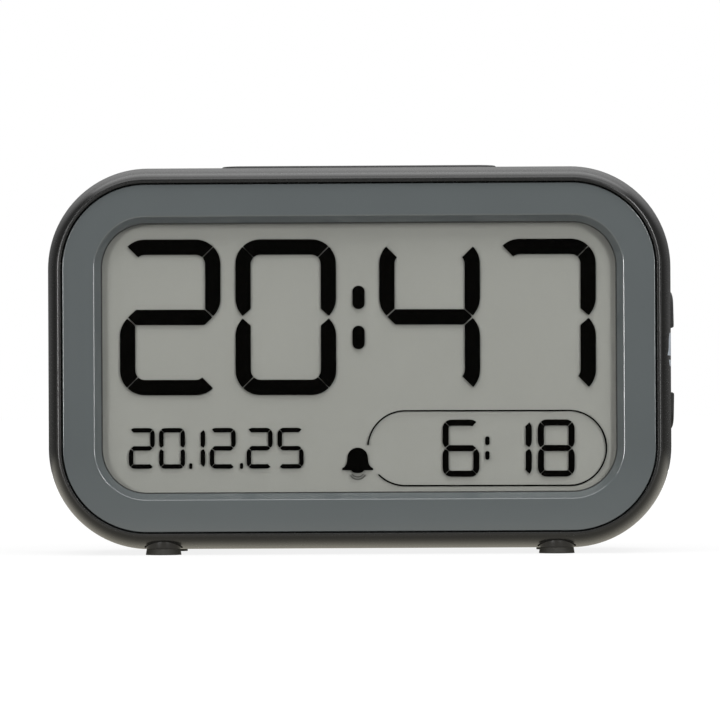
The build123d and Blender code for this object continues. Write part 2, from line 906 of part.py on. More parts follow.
def snooze_board_screws():
    """Screws of the snooze board."""
    lift = Pos(0, 0, small_board_thickness)
    return group(snooze_boss_plane(side) * lift * small_screw() for side in (-1, 1))


# Side keys


def side_key():
    """Upper side key: raised cap with a ramp at its round end, flange and stem."""
    low = side_key_middle + side_key_spacing / 2 - side_key_height / 2
    high = low + side_key_height
    flange_out = inner_x - key_seat_gap
    flange_in = flange_out - key_flange
    crest = half_width + side_key_rise
    cap = beam(side_key_sketch(0), flange_in, crest)
    centre = (half_width, high - side_key_ramp)
    ramp_rise = side_key_rise - side_key_slope
    ramp = EllipticalCenterArc(centre, ramp_rise, side_key_ramp, start_angle=0, arc_size=90)
    corners = Polyline(
        (half_width, high),
        (flange_in, high),
        (flange_in, low),
        (crest - side_key_chamfer, low),
        (crest, low + side_key_chamfer),
        (crest - side_key_slope, high - side_key_ramp),
    )
    profile = make_face([*corners.edges(), *ramp.edges()])
    cap = cap & extrude(Plane.XZ.offset(-depth(side_key_depth)) * profile, side_key_width, both=True)
    flange = beam(side_key_sketch(key_flange_reach), flange_in, flange_out)
    stem = beam(side_stem_place() * Circle(stem_radius), flange_in - stem_length, flange_in)
    return union([cap, flange, stem])


def side_stem_place():
    """Axis of the upper side key's stem, in y and z."""
    return Pos(depth(side_key_depth), side_key_middle + side_key_spacing / 2)


def side_switch_plane(x):
    """Plane on the upper side switch's axis, facing out."""
    return Plane(
        origin=(x, depth(side_key_depth), side_key_middle + side_key_spacing / 2), z_dir=(1, 0, 0)
    )


def side_plunger():
    """Plunger that rides with the upper side key."""
    return side_switch_plane(inner_x - key_seat_gap - key_flange - stem_length) * plunger()


def side_switches():
    """Push switches behind both side keys."""
    upper = side_switch_plane(side_board_face) * push_switch()
    return group([upper, lower_twin(upper)])


def side_board():
    """Narrow board behind the side keys."""
    length = side_boss_spacing + 2 * small_boss_radius
    sketch = Pos(depth(side_key_depth), side_key_middle) * Rectangle(side_board_width, length)
    for level in (-1, 1):
        spot = Pos(depth(side_key_depth), side_key_middle + level * side_boss_spacing / 2)
        sketch -= spot * Circle(small_screw_radius + screw_gap)
    return beam(sketch, side_board_face - small_board_thickness, side_board_face)


def side_board_screws():
    """Screws of the side board."""
    lift = Pos(0, 0, small_board_thickness)
    return group(side_boss_plane(level) * lift * small_screw() for level in (-1, 1))


# Rear controls


def rear_key(x):
    """Rear setting key with its flange and stem."""
    flange_back = back_inner - key_seat_gap
    flange_front_face = flange_back - key_flange
    cap = slab(panel_spot(x) * rear_key_sketch(0), flange_front_face, case_depth)
    cap = fillet(cap.edges().group_by(Axis.Y)[-1], side_key_chamfer)
    flange = slab(panel_spot(x) * rear_key_sketch(key_flange_reach), flange_front_face, flange_back)
    stem = slab(panel_spot(x) * Circle(stem_radius), flange_front_face - stem_length, flange_front_face)
    return union([cap, flange, stem])


def rear_plane(x, distance):
    """Plane on a rear switch's axis, facing back."""
    return Plane(origin=(panel_centre + x, depth(distance), panel_z), z_dir=(0, 1, 0))


def rear_plunger(x):
    """Plunger that rides with a rear key."""
    return rear_plane(x, back_inner - key_seat_gap - key_flange - stem_length) * plunger()


def rear_switches():
    """Push switches in front of the rear keys."""
    return group(rear_plane(x, rear_board_back) * push_switch() for x in rear_key_places)


def alarm_slider():
    """Alarm knob at the off end of its slot: grooved thumb piece, cover flange and lever."""
    x = slider_place - slider_travel / 2
    flange_back = back_inner - key_seat_gap
    flange_face = flange_back - key_flange
    cover = slider_width + 2 * (slider_travel + 2 * key_gap)
    knob = slab(panel_spot(x) * Rectangle(slider_width, slider_height), flange_face, case_depth)
    pitch = slider_width / (slider_grooves + 1)
    for index in range(slider_grooves):
        place = x - slider_width / 2 + (index + 1) * pitch
        groove = panel_spot(place) * Rectangle(pitch / 2, slider_height)
        knob -= slab(groove, case_depth - panel_recess / 2, case_depth)
    flange = slab(panel_spot(x) * Rectangle(cover, slider_flange_height), flange_face, flange_back)
    lever_end = rear_board_back + slider_body_depth - slider_lever_sunk
    lever = slab(panel_spot(x) * Rectangle(slider_lever, slider_lever), lever_end, flange_face)
    return union([knob, flange, lever])


def alarm_switch_body():
    """Slide switch on the rear board, with the slot for the knob's lever."""
    place = panel_spot(slider_place)
    face = rear_board_back + slider_body_depth
    body = slab(place * Rectangle(slider_body_width, switch_side), rear_board_back, face)
    slot = Rectangle(slider_lever + slider_travel + 2 * key_gap, slider_lever + 2 * key_gap)
    return body - slab(place * slot, face - slider_lever_sunk - key_gap, face)


def rear_board():
    """Board behind the control panel."""
    width = panel_width + 2 * rear_board_margin - 2 * small_boss_radius
    sketch = Pos(panel_centre, panel_rise) * Rectangle(width, rear_board_height)
    for x in rear_boss_x:
        sketch -= Pos(x, panel_rise) * Circle(small_screw_radius + screw_gap)
    return slab(sketch, rear_board_back - small_board_thickness, rear_board_back)


def rear_board_screws():
    """Screws of the rear board."""
    lift = Pos(0, 0, small_board_thickness)
    return group(rear_boss_plane(x) * lift * small_screw() for x in rear_boss_x)


def buzzer_disc():
    """Brass sounder disc on its seat."""
    step = back_inner - buzzer_stand
    return slab(Pos(buzzer_place, panel_rise) * Circle(buzzer_radius), step - buzzer_disc_thickness, step)


def buzzer_ceramic():
    """Ceramic wafer bonded to the brass disc."""
    back = back_inner - buzzer_stand - buzzer_disc_thickness
    return slab(Pos(buzzer_place, panel_rise) * Circle(ceramic_radius), back - ceramic_thickness, back)


# Battery compartment contents


def cell_z(level):
    """Height of the upper or lower cell's axis."""
    return compartment_z + level * cell_spacing / 2


def battery_cells():
    """Two cells lying side by side, ends reversed."""
    length = cell_length - cell_nub_height
    can = fillet(Cylinder(cell_radius, length).edges(), cell_edge)
    nub = Pos(0, 0, length / 2 + cell_nub_height / 2) * Cylinder(cell_nub_radius, cell_nub_height)
    cell = Pos(0, 0, -cell_nub_height / 2) * (can + nub)
    shift = contact_x - contact_gap - cell_length / 2
    return group(
        Plane(origin=(level * shift, depth(cell_depth), cell_z(level)), z_dir=(level, 0, 0)) * cell
        for level in (-1, 1)
    )


def contact_plate(level, height, tab):
    """Contact plate on the right end wall, with or without a tab through the floor."""
    front = depth(cavity_front) + contact_gap
    sketch = Pos(front + contact_depth / 2, cell_z(level)) * Rectangle(contact_depth, height)
    if tab:
        length = compartment_wall + tab_length
        sketch += Pos(front - length / 2, cell_z(level)) * Rectangle(length, tab_width)
    return beam(sketch, contact_x, contact_x + contact_thickness)


def bridge_contact():
    """Plate on the left end wall that joins the two cells."""
    return mirror(contact_plate(0, cell_spacing + contact_width, False), about=Plane.YZ)


def coil_point(turn):
    """Point of the conical spring, after this many turns from its base, along z."""
    share = turn / spring_turns
    radius = spring_base_radius + (spring_tip_radius - spring_base_radius) * share
    angle = 2 * math.pi * turn
    return Vector(radius * math.cos(angle), radius * math.sin(angle), spring_height * share)


def coil_tangent(turn):
    """Direction of the conical spring at this many turns."""
    step = 1e-4
    return (coil_point(turn + step) - coil_point(turn - step)).normalized()


def biarc(turn, span):
    """Two arcs, tangent to each other, over a short span of the spring."""
    start, end = coil_point(turn), coil_point(turn + span)
    leave, arrive = coil_tangent(turn), coil_tangent(turn + span)
    chord = end - start
    both = leave + arrive
    spread = 2 * (1 - leave.dot(arrive))
    along = chord.dot(both)
    reach = (-along + math.sqrt(along**2 + 2 * spread * chord.dot(chord))) / spread
    joint = (start + end + (leave - arrive) * reach) * 0.5
    turn_in = ((end - arrive * reach) - (start + leave * reach)).normalized()
    return [TangentArc(start, joint, tangent=leave), TangentArc(joint, end, tangent=turn_in)]


def contact_spring():
    """Conical wire spring standing on z = 0."""
    span = 0.25
    arcs = [arc for step in range(round(spring_turns / span)) for arc in biarc(step * span, span)]
    path = Wire([arc.edge() for arc in arcs])
    section = Plane(origin=path @ 0, z_dir=path % 0) * Circle(spring_wire_radius)
    return sweep(section, path=path)


def contact_springs():
    """Springs at the flat end of each cell."""
    springs = []
    for level in (-1, 1):
        seat = (-level * spring_start, depth(cell_depth), cell_z(level))
        springs.append(Plane(origin=seat, z_dir=(level, 0, 0)) * contact_spring())
    return group(springs)


def battery_door():
    """Battery door with two hinge tabs, a bent latch finger and a stiffening rib."""
    plate = slab(door_sketch(0), cavity_back, case_depth)
    reach = hinge_depth - hinge_chamfer_gap + door_gap
    bevel = make_face(
        Polyline(
            (depth(reach), door_bottom),
            (depth(case_depth), door_bottom + case_depth - reach),
            (depth(case_depth), door_bottom),
            close=True,
        ).edges()
    )
    plate -= beam(bevel, -door_width / 2, door_width / 2)
    leg_gap = 2 * latch_bend
    notch = latch_box(door_gap, cavity_back, case_depth, -latch_thickness - leg_gap, 0)
    plate -= notch
    tab_low = door_bottom - hinge_tab_reach
    tab_high = door_bottom + hinge_tab_root
    tab_sketch = Pos(0, (tab_low + tab_high) / 2 - middle_z) * Rectangle(hinge_tab_width, tab_high - tab_low)
    tab_back = case_depth - hinge_lip - hinge_tab_gap
    tab = slab(tab_sketch, tab_back - hinge_tab_thickness, tab_back)
    tabs = [Pos(side * hinge_tab_spacing / 2, 0, 0) * tab for side in (-1, 1)]
    rib_sketch = Pos(0, compartment_z - middle_z) * SlotOverall(door_rib_length, latch_thickness)
    rib = slab(rib_sketch, cavity_back - door_rib_height, cavity_back)
    return union([plate, *tabs, rib, latch_finger()])


def latch_finger():
    """Springy finger at the door's top edge, bent back on itself, with its barb."""
    outer = latch_bend + latch_thickness
    bend_depth = cavity_back - latch_depth
    bend_z = door_top - outer
    centre = Pos(depth(bend_depth), bend_z)
    bend = centre * (Circle(outer) - Circle(latch_bend))
    bend &= Pos(depth(bend_depth) - outer, bend_z) * Rectangle(2 * outer, 2 * outer)
    lower_leg = Pos(depth(bend_depth + latch_depth / 2), bend_z - outer + latch_thickness / 2) * Rectangle(
        latch_depth, latch_thickness
    )
    upper_length = latch_depth + door_thickness
    upper_leg = Pos(depth(bend_depth + upper_length / 2), door_top - latch_thickness / 2) * Rectangle(
        upper_length, latch_thickness
    )
    barb_depth = depth(cavity_back - catch_thickness - door_gap)
    barb = make_face(
        Polyline(
            (barb_depth, door_top),
            (barb_depth, door_top + latch_barb),
            (barb_depth - 2 * latch_barb, door_top),
            close=True,
        ).edges()
    )
    root = Pos(depth(cavity_back), bend_z - outer + latch_thickness / 2) * Rectangle(
        door_thickness / 2, latch_thickness
    )
    profile = bend + lower_leg + upper_leg + barb + root
    return beam(profile, -latch_width / 2, latch_width / 2)


# Cables


def lead(level):
    """Lead from a terminal's tab to the main board."""
    x = contact_x - lead_radius - contact_gap
    start = depth(cavity_front - compartment_wall - contact_gap)
    end = depth(board_back)
    bend = start - lead_straight_share * (start - end)
    step = lead_slope_share * (start - end)
    points = [(x, start), (x, bend), (x + step, bend - step), (x + step, end)]
    return cable(points, Plane.XY.offset(cell_z(level)), lead_profile)


def snooze_ribbon():
    """Ribbon from the snooze board down and forward to the main board."""
    low = snooze_board_top - small_board_thickness
    middle = depth(bar_centre_depth)
    bend = low - snooze_ribbon_drop
    points = [(middle, low), (middle, bend), (depth(board_back), bend)]
    return cable(points, Plane.YZ, ribbon_profile)


def side_ribbon():
    """Ribbon from the side board to the main board."""
    x = side_board_face - small_board_thickness
    middle = depth(side_key_depth)
    bend = x - side_ribbon_reach
    points = [(x, middle), (bend, middle), (bend, depth(board_back))]
    return cable(points, Plane.XY.offset(side_key_middle), ribbon_profile)


def rear_ribbon():
    """Ribbon from the rear board forward to the main board."""
    start = depth(rear_board_back - small_board_thickness)
    end = depth(board_back)
    bend = start - rear_ribbon_straight_share * (start - end)
    slope_end = bend - rear_ribbon_slope_share * (start - end)
    low = panel_z - rear_ribbon_drop
    points = [(start, panel_z), (bend, panel_z), (slope_end, low), (end, low)]
    return cable(points, Plane.YZ.offset(panel_centre), ribbon_profile)


def buzzer_leads():
    """Two leads from the sounder to the rear board's edge."""
    edge = panel_centre + panel_width / 2 + rear_board_margin - small_boss_radius + contact_gap
    level = depth(rear_board_back - small_board_thickness / 2)
    wafer = back_inner - buzzer_stand - buzzer_disc_thickness
    ends = [
        (ceramic_radius - buzzer_lead_inset, -1, wafer - ceramic_thickness),
        ((ceramic_radius + buzzer_radius) / 2, 1, wafer),
    ]
    leads = []
    for reach, side, face in ends:
        x = buzzer_place - reach
        points = [(x, depth(face)), (x, level), (edge, level)]
        plane = Plane.XY.offset(panel_z + side * buzzer_lead_spacing / 2)
        leads.append(cable(points, plane, Circle(buzzer_lead_radius)))
    return group(leads)


def clock_parts():
    """Every node of the clock with its solid."""
    upper_key = side_key()
    upper_plunger = side_plunger()
    return {
        "front_case": front_case(),
        "rear_cover": rear_cover(),
        "case_screws": case_screws(),
        "rubber_feet": rubber_feet(),
        "bezel": bezel(),
        "window_tape": window_tape(),
        "window_lens": window_lens(),
        "lcd_front_polariser": lcd_sheet(lcd_height, polariser_front, glass_front),
        "lcd_front_glass": lcd_sheet(lcd_height, glass_front, glass_split),
        "lcd_rear_glass": lcd_sheet(rear_glass_height, glass_split, glass_back),
        "lcd_reflector": lcd_sheet(rear_glass_height, glass_back, guide_front),
        "light_guide": lcd_sheet(rear_glass_height, guide_front, guide_front + guide_thickness),
        "lcd_holder": lcd_holder(),
        "contact_strips": contact_strips(),
        "backlight_leds": backlight_leds(),
        "main_board": main_board(),
        "controller_chip": controller_chip(),
        "quartz_crystal": quartz_crystal(),
        "capacitor": capacitor(),
        "display_screws": display_screws(),
        "snooze_bar": snooze_bar(),
        "snooze_plungers": snooze_plungers(),
        "snooze_switches": snooze_switches(),
        "snooze_board": snooze_board(),
        "snooze_board_screws": snooze_board_screws(),
        "side_key_up": upper_key,
        "side_key_up_plunger": upper_plunger,
        "side_key_down": lower_twin(upper_key),
        "side_key_down_plunger": lower_twin(upper_plunger),
        "side_switches": side_switches(),
        "side_board": side_board(),
        "side_board_screws": side_board_screws(),
        "time_key": rear_key(rear_key_places[0]),
        "time_key_plunger": rear_plunger(rear_key_places[0]),
        "alarm_key": rear_key(rear_key_places[1]),
        "alarm_key_plunger": rear_plunger(rear_key_places[1]),
        "rear_switches": rear_switches(),
        "alarm_slider": alarm_slider(),
        "alarm_switch_body": alarm_switch_body(),
        "rear_board": rear_board(),
        "rear_board_screws": rear_board_screws(),
        "buzzer_disc": buzzer_disc(),
        "buzzer_ceramic": buzzer_ceramic(),
        "battery_door": battery_door(),
        "battery_cells": battery_cells(),
        "contact_springs": contact_springs(),
        "bridge_contact": bridge_contact(),
        "positive_terminal": contact_plate(1, contact_width, True),
        "negative_terminal": contact_plate(-1, contact_width, True),
        "positive_lead": lead(1),
        "negative_lead": lead(-1),
        "buzzer_leads": buzzer_leads(),
        "snooze_ribbon": snooze_ribbon(),
        "side_ribbon": side_ribbon(),
        "rear_ribbon": rear_ribbon(),
    }


os.makedirs("parts", exist_ok=True)
for node, shape in clock_parts().items():
    export_step(shape, f"parts/{node}.step")
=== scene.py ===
import json
import math

import bmesh
import bpy
import numpy as np
from mathutils import Matrix, Vector


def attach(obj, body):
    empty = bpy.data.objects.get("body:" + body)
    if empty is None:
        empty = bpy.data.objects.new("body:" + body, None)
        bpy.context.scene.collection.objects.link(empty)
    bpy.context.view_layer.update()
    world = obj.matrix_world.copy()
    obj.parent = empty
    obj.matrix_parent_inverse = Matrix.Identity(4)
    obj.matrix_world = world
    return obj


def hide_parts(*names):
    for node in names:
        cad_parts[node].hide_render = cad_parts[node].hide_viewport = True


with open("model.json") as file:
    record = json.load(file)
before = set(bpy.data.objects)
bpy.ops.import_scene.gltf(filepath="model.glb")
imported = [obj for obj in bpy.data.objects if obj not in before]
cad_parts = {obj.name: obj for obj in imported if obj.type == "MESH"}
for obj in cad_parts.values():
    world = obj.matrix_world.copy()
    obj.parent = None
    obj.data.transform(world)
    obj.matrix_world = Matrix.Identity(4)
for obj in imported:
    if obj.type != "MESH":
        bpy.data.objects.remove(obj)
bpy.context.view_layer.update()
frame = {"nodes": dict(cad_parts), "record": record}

MM = 0.001

# Sizes in millimetres. Depth runs back from the front rim, and inset runs in from the widest outline.

# Case
case_width = 128.0
case_height = 78.0
case_depth = 46.0
corner_radius = 20.6
wall = 2.2
swell_depth = 12.0
swell_inset = 2.8
split_depth = 28.0
split_edge = 0.1
split_margin = 0.5
rim_inset = 3.2
rim_inner = 3.35
rim_slope_depth = 0.7
rim_round = 0.08
crown = 0.16
crown_end = 16.0
lap_length = 2.1
lap_rebate = 1.1
flange_front = 6.15
flange_inset = 5.25
board_front = 7.75
foot_height = 1.15
front_y = -case_depth / 2
middle_z = foot_height + case_height / 2
top_z = foot_height + case_height
half_width = case_width / 2
case_outline = (case_width, case_height, corner_radius)

# Feet and their sockets
foot_radius = 3.45
foot_flare = 0.2
foot_edge = 0.08
foot_pad_top = 1.25
foot_top = 3.15
collar_radius = 3.62
collar_edge = 0.2
foot_x = 40.2
foot_depths = (5.0, 34.0)
socket_radius = 3.95
pad_radius = 4.35
pad_top = 4.25

# Posts inside the case
case_post_radius = 3.2
case_post_place = (54.43, 29.43)
case_post_bore = 1.35
case_post_back = 26.0
case_post_bore_depth = 8.0
board_post_radius = 2.2
board_post_length = 7.05
board_post_bore = 1.05
board_post_bore_depth = 3.8
side_board_x = 55.35
side_post_spacing = 36.99
snooze_board_z = 70.5
snooze_post_x = 32.6

# Bezel
bezel_inset = 3.55
bezel_face = 0.7
window_inset = 10.05
opening_inset = 11.35
chamfer_end = 2.15
plate_back = 2.4
skirt_inset = 4.75
bezel_edge = 0.2
bezel_round = 0.45
bezel_post_place = (57.35, 14.0)
bezel_post_radius = 2.0
bezel_post_bore_depth = 3.4

# Window and display
border_outer = 10.2
border_inner = 11.62
border_front = 2.42
border_back = 2.48
lens_inset = 9.5
lens_front = 2.5
lens_back = 3.4
cell_front = 3.5
cell_back = 4.8
cell_width = 105.8
cell_height = 57.2
cell_corner = 0.3
mark_front = 4.22
mark_back = 4.28
display_tilt = -0.003

# Snooze bar
bar_length = 56.8
bar_depth = 13.0
bar_corner = 4.5
bar_middle_depth = 18.6
bar_top = 79.76
bar_edge = 0.5
bar_wall = 1.6
bar_flange_low = 75.9
bar_flange_top = 76.9
bar_flange_reach = 1.1
bar_stem_low = 75.1
bar_stem_radius = 1.5
bar_stem_x = 15.0
bar_stem_overlap = 0.1
key_gap = 0.3

# Side keys
key_width = 7.0
key_height = 7.6
key_middle_depth = 14.5
key_middle_z = 39.35
key_spacing = 20.79
key_crest = 64.65
key_slope = 0.1
key_ramp = 2.7
key_chamfer = 0.3
key_edge = 0.25
key_sink = 0.2
key_flange_out = 61.75
key_flange_in = 60.75
key_flange_reach = 1.1
key_stem_end = 59.95
key_stem_radius = 1.5
key_stem_overlap = 0.2

# Shares of its outline through which a side key's face and the side print are drawn in to their middles
key_shares = np.concatenate([np.linspace(1, 0.93, 6), np.linspace(0.85, 0.02, 12)])
print_shares = np.linspace(1, 0.02, 12)

# Sharpest angles, in degrees, that still shade smoothly, the reach, in metres, for merging loose corners, and the
# slack, in millimetres, in telling the case's outside
smooth_angle = 28
foot_smooth_angle = 40
print_smooth_angle = 60
merge_reach = 1e-6
outside_slack = 1e-6

# Camera, fitted to the outlines in the photograph
camera_place = (0.01507, -1.123, 0.03096)
camera_yaw = -0.01348
camera_pitch = 0.00786
camera_roll = -0.00505
camera_lens = 270.12
camera_sensor = 36.0
camera_reach = 50.0


# Surfaces: a shape is its points and a list of face tables


def grid_faces(rows, columns, close_rows):
    """Quads between neighbours of a grid of points, closed round each row, and from last row to first if asked."""
    row = np.arange(rows if close_rows else rows - 1)[:, None]
    column = np.arange(columns)[None, :]
    below = (row + 1) % rows
    beside = (column + 1) % columns
    corners = [(row, column), (row, beside), (below, beside), (below, column)]
    return np.stack([r * columns + c for r, c in corners], axis=-1).reshape(-1, 4)


def turned_out(points, tables):
    """Shape with its faces outward: the signed volume, summed over the fan of each face, is made positive."""
    volume = 0.0
    for table in tables:
        first = points[table[:, 0]]
        for step in range(1, table.shape[1] - 1):
            volume += np.sum(first * np.cross(points[table[:, step]], points[table[:, step + 1]]))
    return points, [table[:, ::-1] if volume < 0 else table for table in tables]


def loft(loops):
    """Solid through a stack of loops (rows of points), closed round each loop and capped at both ends."""
    loops = np.asarray(loops, dtype=float)
    rows, columns = loops.shape[:2]
    around = np.arange(columns)
    caps = [around[None, ::-1], (rows - 1) * columns + around[None, :]]
    return turned_out(loops.reshape(-1, 3), [grid_faces(rows, columns, False), *caps])


def hoop(loops):
    """Ring-shaped solid through a stack of loops whose last loop joins the first."""
    rows, columns = loops.shape[:2]
    return turned_out(loops.reshape(-1, 3), [grid_faces(rows, columns, True)])


def rounded_loop(width, height, radius, grow=0.0, corner_steps=28, side_steps=10):
    """Rounded rectangle as flat points, for one growth or an array of them.

    Round each corner the direction turns evenly through a quarter while the centre stays; along each side the
    direction stays while the centre slides to the next corner. A point is centre + (radius + growth) * direction.
    """
    turn = np.concatenate([np.linspace(0, 1, corner_steps + 1), np.ones(side_steps - 1)])
    slide = np.concatenate([np.zeros(corner_steps + 1), np.arange(1, side_steps) / side_steps])
    angle = (np.arange(4)[:, None] + turn) * math.pi / 2
    corners = np.array([(1, 1), (-1, 1), (-1, -1), (1, -1)]) * (width / 2 - radius, height / 2 - radius)
    along = (np.roll(corners, -1, axis=0) - corners)[:, None]
    centres = (corners[:, None] + slide[None, :, None] * along).reshape(-1, 2)
    directions = np.stack([np.cos(angle), np.sin(angle)], axis=-1).reshape(-1, 2)
    return centres + (radius + np.asarray(grow)[..., None, None]) * directions


def circle_loop(radius, steps=48):
    """Circle of a radius, or an array of radii, as flat points at even angles."""
    angle = np.arange(steps) * 2 * math.pi / steps
    circle = np.stack([np.cos(angle), np.sin(angle)], axis=-1)
    return np.asarray(radius)[..., None, None] * circle


def arc(centre, radii, start, end, steps):
    """Points of an elliptical arc: centre + radii * (cos, sin) of an angle in degrees that runs evenly."""
    angle = np.radians(np.linspace(start, end, steps + 1))
    return np.stack([centre[0] + radii[0] * np.cos(angle), centre[1] + radii[1] * np.sin(angle)], axis=-1)


def rounded_vertex(before, corner, after, radius, steps=6):
    """Corner between two straight runs replaced by a tangent arc, found from the corner's half angle."""
    before, corner, after = (np.asarray(point, dtype=float) for point in (before, corner, after))
    inward = (before - corner) / np.linalg.norm(before - corner)
    onward = (after - corner) / np.linalg.norm(after - corner)
    half = math.acos(np.clip(inward @ onward, -1, 1)) / 2
    middle = (inward + onward) / np.linalg.norm(inward + onward)
    centre = corner + middle * radius / math.sin(half)
    sweep = np.linspace(-1, 1, steps + 1)[:, None] * (math.pi / 2 - half)
    across = (onward - inward) / np.linalg.norm(onward - inward)
    return centre + radius * (np.sin(sweep) * across - np.cos(sweep) * middle)


def front_points(flat, depths):
    """Front-view points, measured from the case's middle, placed at depths behind the front rim."""
    depths = np.broadcast_to(np.asarray(depths)[..., None], flat.shape[:-1])
    return np.stack([flat[..., 0], front_y + depths, middle_z + flat[..., 1]], axis=-1)


def plan_points(flat, heights):
    """Plan points in x and y placed at heights."""
    heights = np.broadcast_to(np.asarray(heights)[..., None], flat.shape[:-1])
    return np.stack([flat[..., 0], flat[..., 1], heights], axis=-1)


def side_points(flat, places):
    """Side-view points in y and z placed at x."""
    places = np.broadcast_to(np.asarray(places)[..., None], flat.shape[:-1])
    return np.stack([places, flat[..., 0], flat[..., 1]], axis=-1)


def case_ring(profile, rise=None):
    """Closed profile of depth and inset carried once round the case outline.

    A rise for each profile point lifts the top and drops the bottom, by the square of the outward direction's
    upright part, so that it fades round the corners.
    """
    loops = rounded_loop(*case_outline, -profile[:, 1])
    if rise is not None:
        upright = (rounded_loop(*case_outline, 1) - rounded_loop(*case_outline))[:, 1]
        loops[..., 1] += rise[:, None] * upright * np.abs(upright)
    return hoop(front_points(loops, profile[:, 0]))


def turned(profile, origin, axis):
    """Profile of radius and height turned about an axis (0, 1 or 2 for x, y or z) through an origin."""
    profile = np.asarray(profile, dtype=float)
    circles = circle_loop(profile[:, 0])
    heights = np.broadcast_to(profile[:, 1][:, None], circles.shape[:-1])
    points = np.stack([circles[..., 0], circles[..., 1], heights], axis=-1)
    order = {0: (2, 0, 1), 1: (0, 2, 1), 2: (0, 1, 2)}[axis]
    return loft(points[..., order] + np.asarray(origin))


def post(origin, axis, length, radius, bore, bore_depth):
    """Round post with a blind bore at its seat; the sign of the length says which way it runs from the seat."""
    way = math.copysign(1, length)
    return turned([(bore, way * bore_depth), (bore, 0), (radius, 0), (radius, length)], origin, axis)


# Pieces


def shade(mesh, limit):
    """Smooth shading that breaks at edges sharper than a limit in degrees."""
    mesh.polygons.foreach_set("use_smooth", np.ones(len(mesh.polygons), dtype=bool))
    mesh.set_sharp_from_angle(angle=math.radians(limit))


def weigh_normals(piece):
    """Large faces lead the shading, so flats stay flat beside rounded edges."""
    modifier = piece.modifiers.new("weighted_normals", "WEIGHTED_NORMAL")
    modifier.keep_sharp = True


def mesh_object(name, shapes):
    """Object at the origin from shapes in millimetres."""
    points = np.concatenate([shape[0] for shape in shapes]) * MM
    starts = np.cumsum([0] + [len(shape[0]) for shape in shapes[:-1]])
    faces = [row for start, shape in zip(starts, shapes) for table in shape[1] for row in (table + start).tolist()]
    mesh = bpy.data.meshes.new(name)
    mesh.from_pydata(points.tolist(), [], faces)
    mesh.update()
    piece = bpy.data.objects.new(name, mesh)
    bpy.context.scene.collection.objects.link(piece)
    return piece


def dress(piece, body, slot, nodes=(), look=None):
    """Piece moving with a body and standing for CAD nodes, in a slot's material or a look of its own."""
    piece.data.materials.clear()
    piece.data.materials.append(finishes[slot])
    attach(piece, body)
    if nodes:
        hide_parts(*nodes)
    if look is not None:
        piece.data.materials[0] = look


def carve(piece, cutters):
    """Openings cut through a piece's closed mesh."""
    tool = mesh_object(piece.name + "_cutter", cutters)
    modifier = piece.modifiers.new("openings", "BOOLEAN")
    modifier.operation = "DIFFERENCE"
    modifier.solver = "EXACT"
    modifier.object = tool
    graph = bpy.context.evaluated_depsgraph_get()
    carved = bpy.data.meshes.new_from_object(piece.evaluated_get(graph))
    piece.modifiers.clear()
    piece.data = carved
    bpy.data.objects.remove(tool)


def add_to(piece, shapes):
    """More closed shapes joined into a piece's mesh."""
    extra = mesh_object(piece.name + "_extra", shapes)
    joined = bmesh.new()
    joined.from_mesh(piece.data)
    joined.from_mesh(extra.data)
    joined.to_mesh(piece.data)
    joined.free()
    bpy.data.objects.remove(extra)


def smoothed_copy(name, node, body, slot):
    """Copy of a CAD node with its loose triangles merged, so that its rounds shade smoothly."""
    mesh = frame["nodes"][node].data.copy()
    mesh.name = name
    merged = bmesh.new()
    merged.from_mesh(mesh)
    bmesh.ops.remove_doubles(merged, verts=merged.verts, dist=merge_reach)
    merged.to_mesh(mesh)
    merged.free()
    if mesh.has_custom_normals:
        mesh.attributes.remove(mesh.attributes["custom_normal"])
    shade(mesh, smooth_angle)
    piece = bpy.data.objects.new(name, mesh)
    bpy.context.scene.collection.objects.link(piece)
    weigh_normals(piece)
    dress(piece, body, slot, [node])


# Finishes

# Detail of the two noises, and the span of the fine one over which the gloss changes
grain_detail = 3.0
mottle_detail = 4.0
gloss_span = (0.3, 0.7)


def linear(tint):
    """Display tint, 0 to 255, as scene-linear colour."""
    share = np.asarray(tint, dtype=float) / 255
    value = np.where(share <= 0.04045, share / 12.92, ((share + 0.055) / 1.055) ** 2.4)
    return (*value.tolist(), 1.0)


def new_group(name, inputs, outputs):
    """Shader node group with named sockets."""
    group = bpy.data.node_groups.new(name, "ShaderNodeTree")
    for label, kind in inputs:
        group.interface.new_socket(label, in_out="INPUT", socket_type=kind)
    for label, kind in outputs:
        group.interface.new_socket(label, in_out="OUTPUT", socket_type=kind)
    return group, group.nodes.new("NodeGroupInput"), group.nodes.new("NodeGroupOutput")


